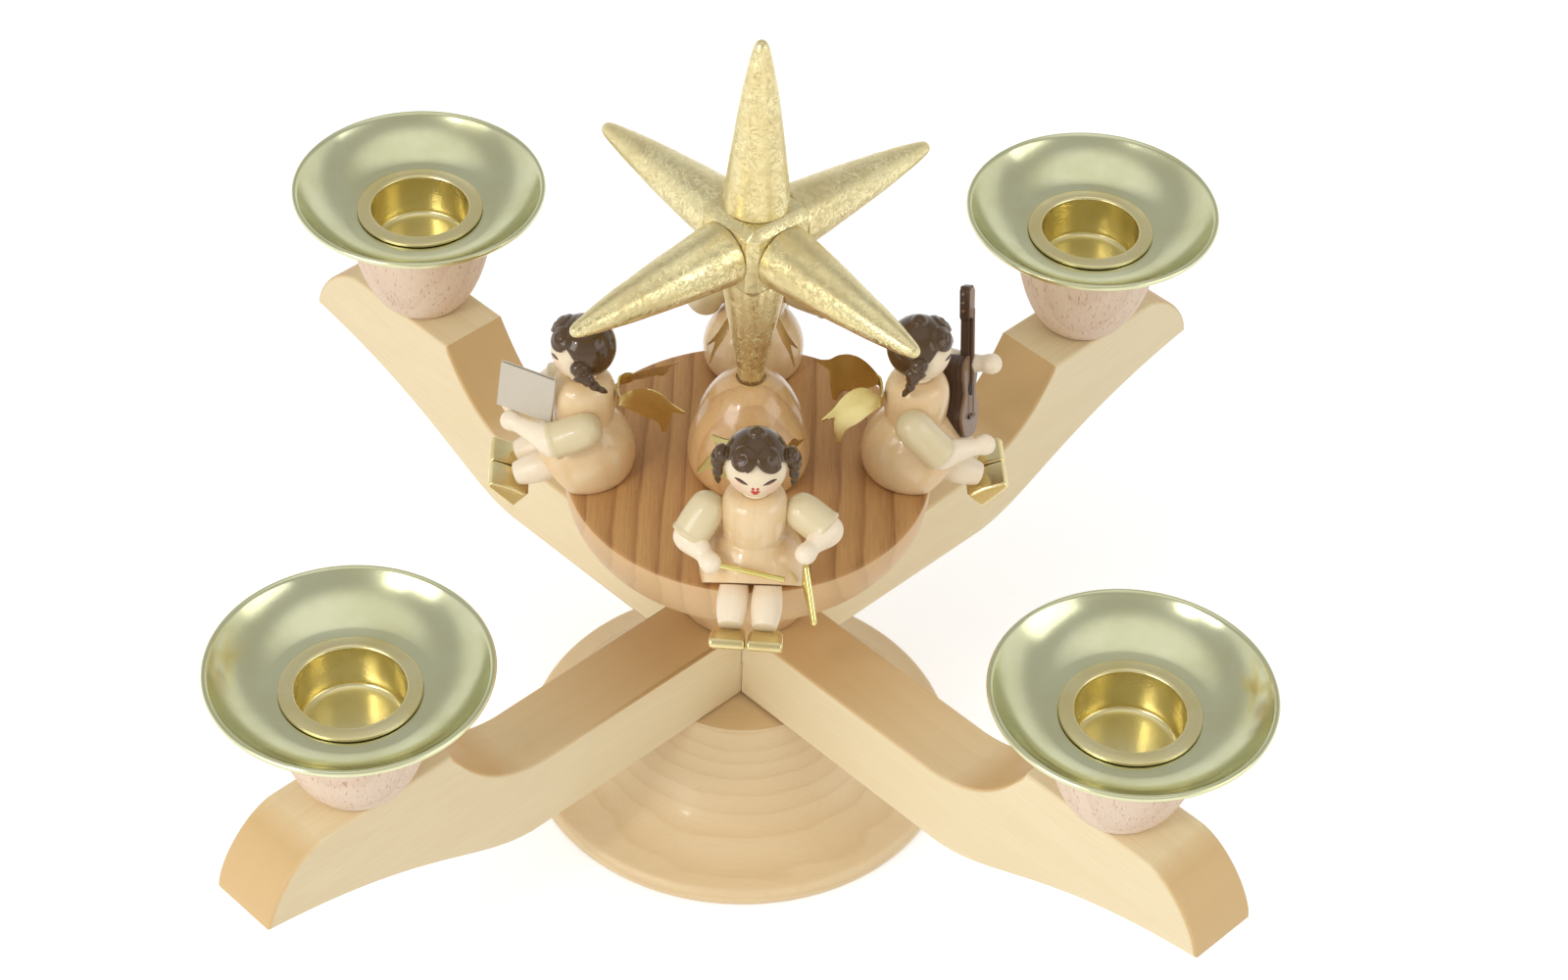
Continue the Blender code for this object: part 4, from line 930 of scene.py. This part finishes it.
for where, (turns, wing_angles, lock, *arms) in poses.items():
    bearing, yaw, swing = (math.radians(value) for value in turns)
    seat = Matrix.Rotation(bearing, 4, "Z") @ Matrix.Translation((0.0366, 0, 0.0915)) @ Matrix.Rotation(yaw, 4, "Z")
    name = "angel_" + where
    piece(name + "_bodice", body_mesh, seat, name + "_body")
    hair_mesh = hair(name + "_hair", *lock)
    painted = ("_face", face_mesh), ("_eyes", eyes_mesh), ("_lids", lids_mesh), ("_mouth", lips_mesh)
    for part, mesh in (*painted, ("_hair", hair_mesh)):
        piece(name + part, mesh, seat, name + "_head")
    for hand, side, (shoulder, elbow, palm) in zip(("right", "left"), (-1, 1), arms):
        node = name + "_arm_" + hand
        sleeve = baked("sleeve", sleeve_shape(shoulder, elbow), sleeve_paint)
        forearm = baked("forearm", forearm_shape(elbow, palm), limb_wood)
        piece(name + "_sleeve_" + hand, sleeve, seat, node)
        piece(name + "_forearm_" + hand, forearm, seat, node)
        node = name + "_leg_" + hand
        leg = baked("angel_leg", leg_shape(side, swing), limb_wood)
        shoe = planed(baked("angel_shoe", shoe_shape(side, swing), shoe_metal))
        piece(name + "_limb_" + hand, leg, seat, node)
        piece(name + "_shoe_" + hand, shoe, seat, node)
    wings = baked(name + "_wing_sheet", wing_shape(*wing_angles), wing_metal, 50)
    piece(name + "_wing_sheet", wings, seat, name + "_wings")
    if where == "left":
        long, high = 0.0129, 0.0122
        leaf = [(0, 0), (long, 0), (long, high), (0, high)]
        parts = [shifted(slab(leaf, 0.00030, 0.0001, 2), 0, depth, 0) for depth in (-0.00036, 0.00036)]
        parts += [slab([(long - 0.0005, 0), (long, 0), (long, high), (long - 0.0005, high)], 0.00100, 0.0003, 3)]
        held = seat @ Matrix.Translation((0.0187, 0.0004, 0.0175)) @ turned(-6, "Y") @ turned(158)
        book = planed(baked("song_card", together(parts), card, 60))
        piece("song_card", book, held, "song_book")
    if where == "right":
        held = seat @ Matrix.Translation((0.0104, 0.0008, 0.0070)) @ turned(-30, "X") @ turned(64)
        half = [(0.0, 0.0), (0.0032, 0.0006), (0.0052, 0.0034), (0.0052, 0.0062), (0.0036, 0.0094)]
        half += [(0.0035, 0.0112), (0.0043, 0.0140), (0.0040, 0.0170), (0.0016, 0.0186)]
        smooth = flowing(half, 6)
        rim = [tuple(p) for p in smooth] + [(-p[0], p[1]) for p in smooth[:0:-1]]
        ribs = shifted(slab(rim, 0.0042, 0.0002, 2), 0, 0.0003, 0)
        top = [(x * 0.99, 0.0093 + (z - 0.0093) * 0.99) for x, z in rim]
        front = shifted(slab(top, 0.0007, 0.00015, 2), 0, -0.0021, 0)
        half = [(0.0009, 0.0120), (0.0009, 0.0262), (0.0017, 0.0270), (0.0019, 0.0330), (0.0012, 0.0340)]
        neck_rim = half + [(-x, z) for x, z in half[::-1]]
        stem = shifted(slab(neck_rim, 0.0022, 0.0002, 2), 0, -0.0012, 0)
        board = [(-0.0008, 0.0128), (0.0008, 0.0128), (0.0007, 0.0268), (-0.0007, 0.0268)]
        board = shifted(slab(board, 0.0004, 0.0001, 2), 0, -0.0026, 0)
        hole = lathe([(0, 0.0001), (0.0017, 0.0001), (0.0017, -0.0001), (0, -0.0001)], 32)
        shifted(moved(hole, turned(90, "X")), 0, -0.00252, 0.0112)
        bridge = [(-0.0018, 0.0044), (0.0018, 0.0044), (0.0018, 0.0052), (-0.0018, 0.0052)]
        bridge = shifted(slab(bridge, 0.0006, 0.0001, 2), 0, -0.0027, 0)
        across = (-0.00045, -0.00015, 0.00015, 0.00045)
        strings = [tube([(x, -0.00302, 0.0048), (x, -0.00292, 0.0290)], 0.00007, 6) for x in across]
        half = [(0.0015, 0.0272), (0.0017, 0.0328), (0.0010, 0.0336)]
        plate = [(-0.0015, 0.0272), *half, (-0.0010, 0.0336), (-0.0017, 0.0328)]
        plate = shifted(slab(plate, 0.0004, 0.0001, 2), 0, -0.0023, 0)
        pegs = []
        for level in (0.0286, 0.0305, 0.0324):
            for way in (-1, 1):
                pegs.append(tube([(way * 0.0014, -0.0012, level), (way * 0.0027, -0.0012, level)], 0.0003, 8))
        for name_of, shape, look in (
            ("guitar_ribs", ribs, walnut),
            ("guitar_top", front, walnut_pale),
            ("guitar_neck", together([stem, board, bridge]), walnut),
            ("guitar_hole", hole, black),
            ("guitar_strings", together(strings), walnut_pale),
            ("guitar_pegs", together(pegs + [plate]), walnut_pale),
        ):
            piece(name_of, planed(baked(name_of, shape, look, 30)), held, "guitar")
    if where == "front":
        rod = tube([(0.0094, -0.0080, 0.0126), (0.0130, 0.0068, 0.0122)], 0.0006, 20)
        piece("beater_rod", baked("beater_rod", rod, wire_metal), seat, "triangle_beater")
        corners = (0.0100, 0.0111, 0.0144), (0.0057, 0.0112, 0.0044), (0.0184, 0.0135, 0.0042)
        corners = [Vector(corner) for corner in corners]
        bend = []
        for i in range(3):
            before, here, after = corners[i - 1], corners[i], corners[(i + 1) % 3]
            start = here + (before - here).normalized() * 0.0016
            end = here + (after - here).normalized() * 0.0016
            for step in range(9):
                t = step / 8
                bend.append((1 - t) ** 2 * start + 2 * t * (1 - t) * here + t * t * end)
        ring = loop_tube(bend, 0.0006, 20)
        piece("triangle_wire", baked("triangle_wire", ring, wire_metal), seat, "triangle")

# Floor, light and camera

floor_shape = bmesh.new()
bmesh.ops.create_grid(floor_shape, x_segments=1, y_segments=1, size=3.0)
sheet = Sheet("studio_floor")
rays = sheet.add("ShaderNodeLightPath").outputs
seen = sheet.math("MAXIMUM", rays["Is Camera Ray"], rays["Is Glossy Ray"])
seen = sheet.math("MAXIMUM", seen, rays["Is Transmission Ray"])
paper = sheet.noise(sheet.add("ShaderNodeTexCoord").outputs["Object"], 3.0, 2.0)
sheet.set(Base_Color=sheet.mix(paper, paint(240, 240, 240), paint(236, 236, 236)), Roughness=0.9)
sheet.surface.inputs["Specular IOR Level"].default_value = 0.1
sheet.surface.inputs["Emission Color"].default_value = (1.0, 1.0, 1.0, 1.0)
sheet.set(Emission_Strength=sheet.math("MULTIPLY", seen, 0.42))
floor = linked("floor", baked("floor", floor_shape, sheet.material))
floor.location.z = -0.0001
floor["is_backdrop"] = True

world = bpy.data.worlds.new("studio")
scene.world = world
world.use_nodes = True
tree = world.node_tree
tree.nodes.clear()
kinds = "TexCoord", "SeparateXYZ", "ValToRGB", "Background", "OutputWorld"
way, split, ramp, glow, out = (tree.nodes.new("ShaderNode" + kind) for kind in kinds)
tree.links.new(way.outputs["Generated"], split.inputs[0])
tree.links.new(split.outputs[2], ramp.inputs[0])
tree.links.new(ramp.outputs[0], glow.inputs[0])
tree.links.new(glow.outputs[0], out.inputs[0])
stops = ramp.color_ramp.elements
stops[0].position, stops[0].color = 0.0, (0.95, 0.95, 0.95, 1)
stops[1].position, stops[1].color = 0.42, (0.80, 0.80, 0.80, 1)
for position, value in ((0.56, 0.48), (0.80, 0.48), (0.92, 0.95)):
    stop = stops.new(position)
    stop.color = (value, value, value, 1)


def lamp(name, where, size, power):
    light = bpy.data.lights.new(name, "AREA")
    light.shape = "RECTANGLE"
    light.size, light.size_y = size
    light.energy = power
    made = linked(name, light)
    made.location = where
    made.rotation_mode = "QUATERNION"
    made.rotation_quaternion = (Vector((0, 0, 0.08)) - Vector(where)).to_track_quat("-Z", "Y")
    made.visible_camera = False


lamp("key_left", (-1.1, -1.0, 0.75), (0.9, 0.7), 8.4)
lamp("small_left", (-0.75, -0.95, 1.05), (0.10, 0.10), 1.8)
lamp("fill_right", (1.2, -0.5, 0.7), (0.9, 0.7), 3.0)

FOCAL, TILT, TURN, ROLL, FAR = 3607.214, 43.666985, -0.099701, 2.421954, 0.809101
SHIFT_X, SHIFT_Y = 0.010401, 0.021854
tilt, turn, roll = (math.radians(value) for value in (TILT, TURN, ROLL))
back = Vector((math.sin(turn) * math.cos(tilt), -math.cos(turn) * math.cos(tilt), math.sin(tilt)))
across = (-back).cross(Vector((0, 0, 1))).normalized()
aim = (-back + across * SHIFT_X + across.cross(-back) * SHIFT_Y).normalized()
across = aim.cross(Vector((0, 0, 1))).normalized()
above = across.cross(aim)
x_axis = across * math.cos(roll) + above * math.sin(roll)
y_axis = above * math.cos(roll) - across * math.sin(roll)
camera = linked("camera", bpy.data.cameras.new("camera"))
camera.data.sensor_width = 36.0
camera.data.lens = FOCAL / 1600 * 36
camera.data.clip_start, camera.data.clip_end = 0.01, 20.0
columns = [(*x_axis, 0), (*y_axis, 0), (*(-aim), 0), (*(Vector((0, 0, 0.06)) + back * FAR), 1)]
camera.matrix_world = Matrix(columns).transposed()
scene.camera = camera
scene.view_settings.view_transform = "Standard"

low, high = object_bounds()
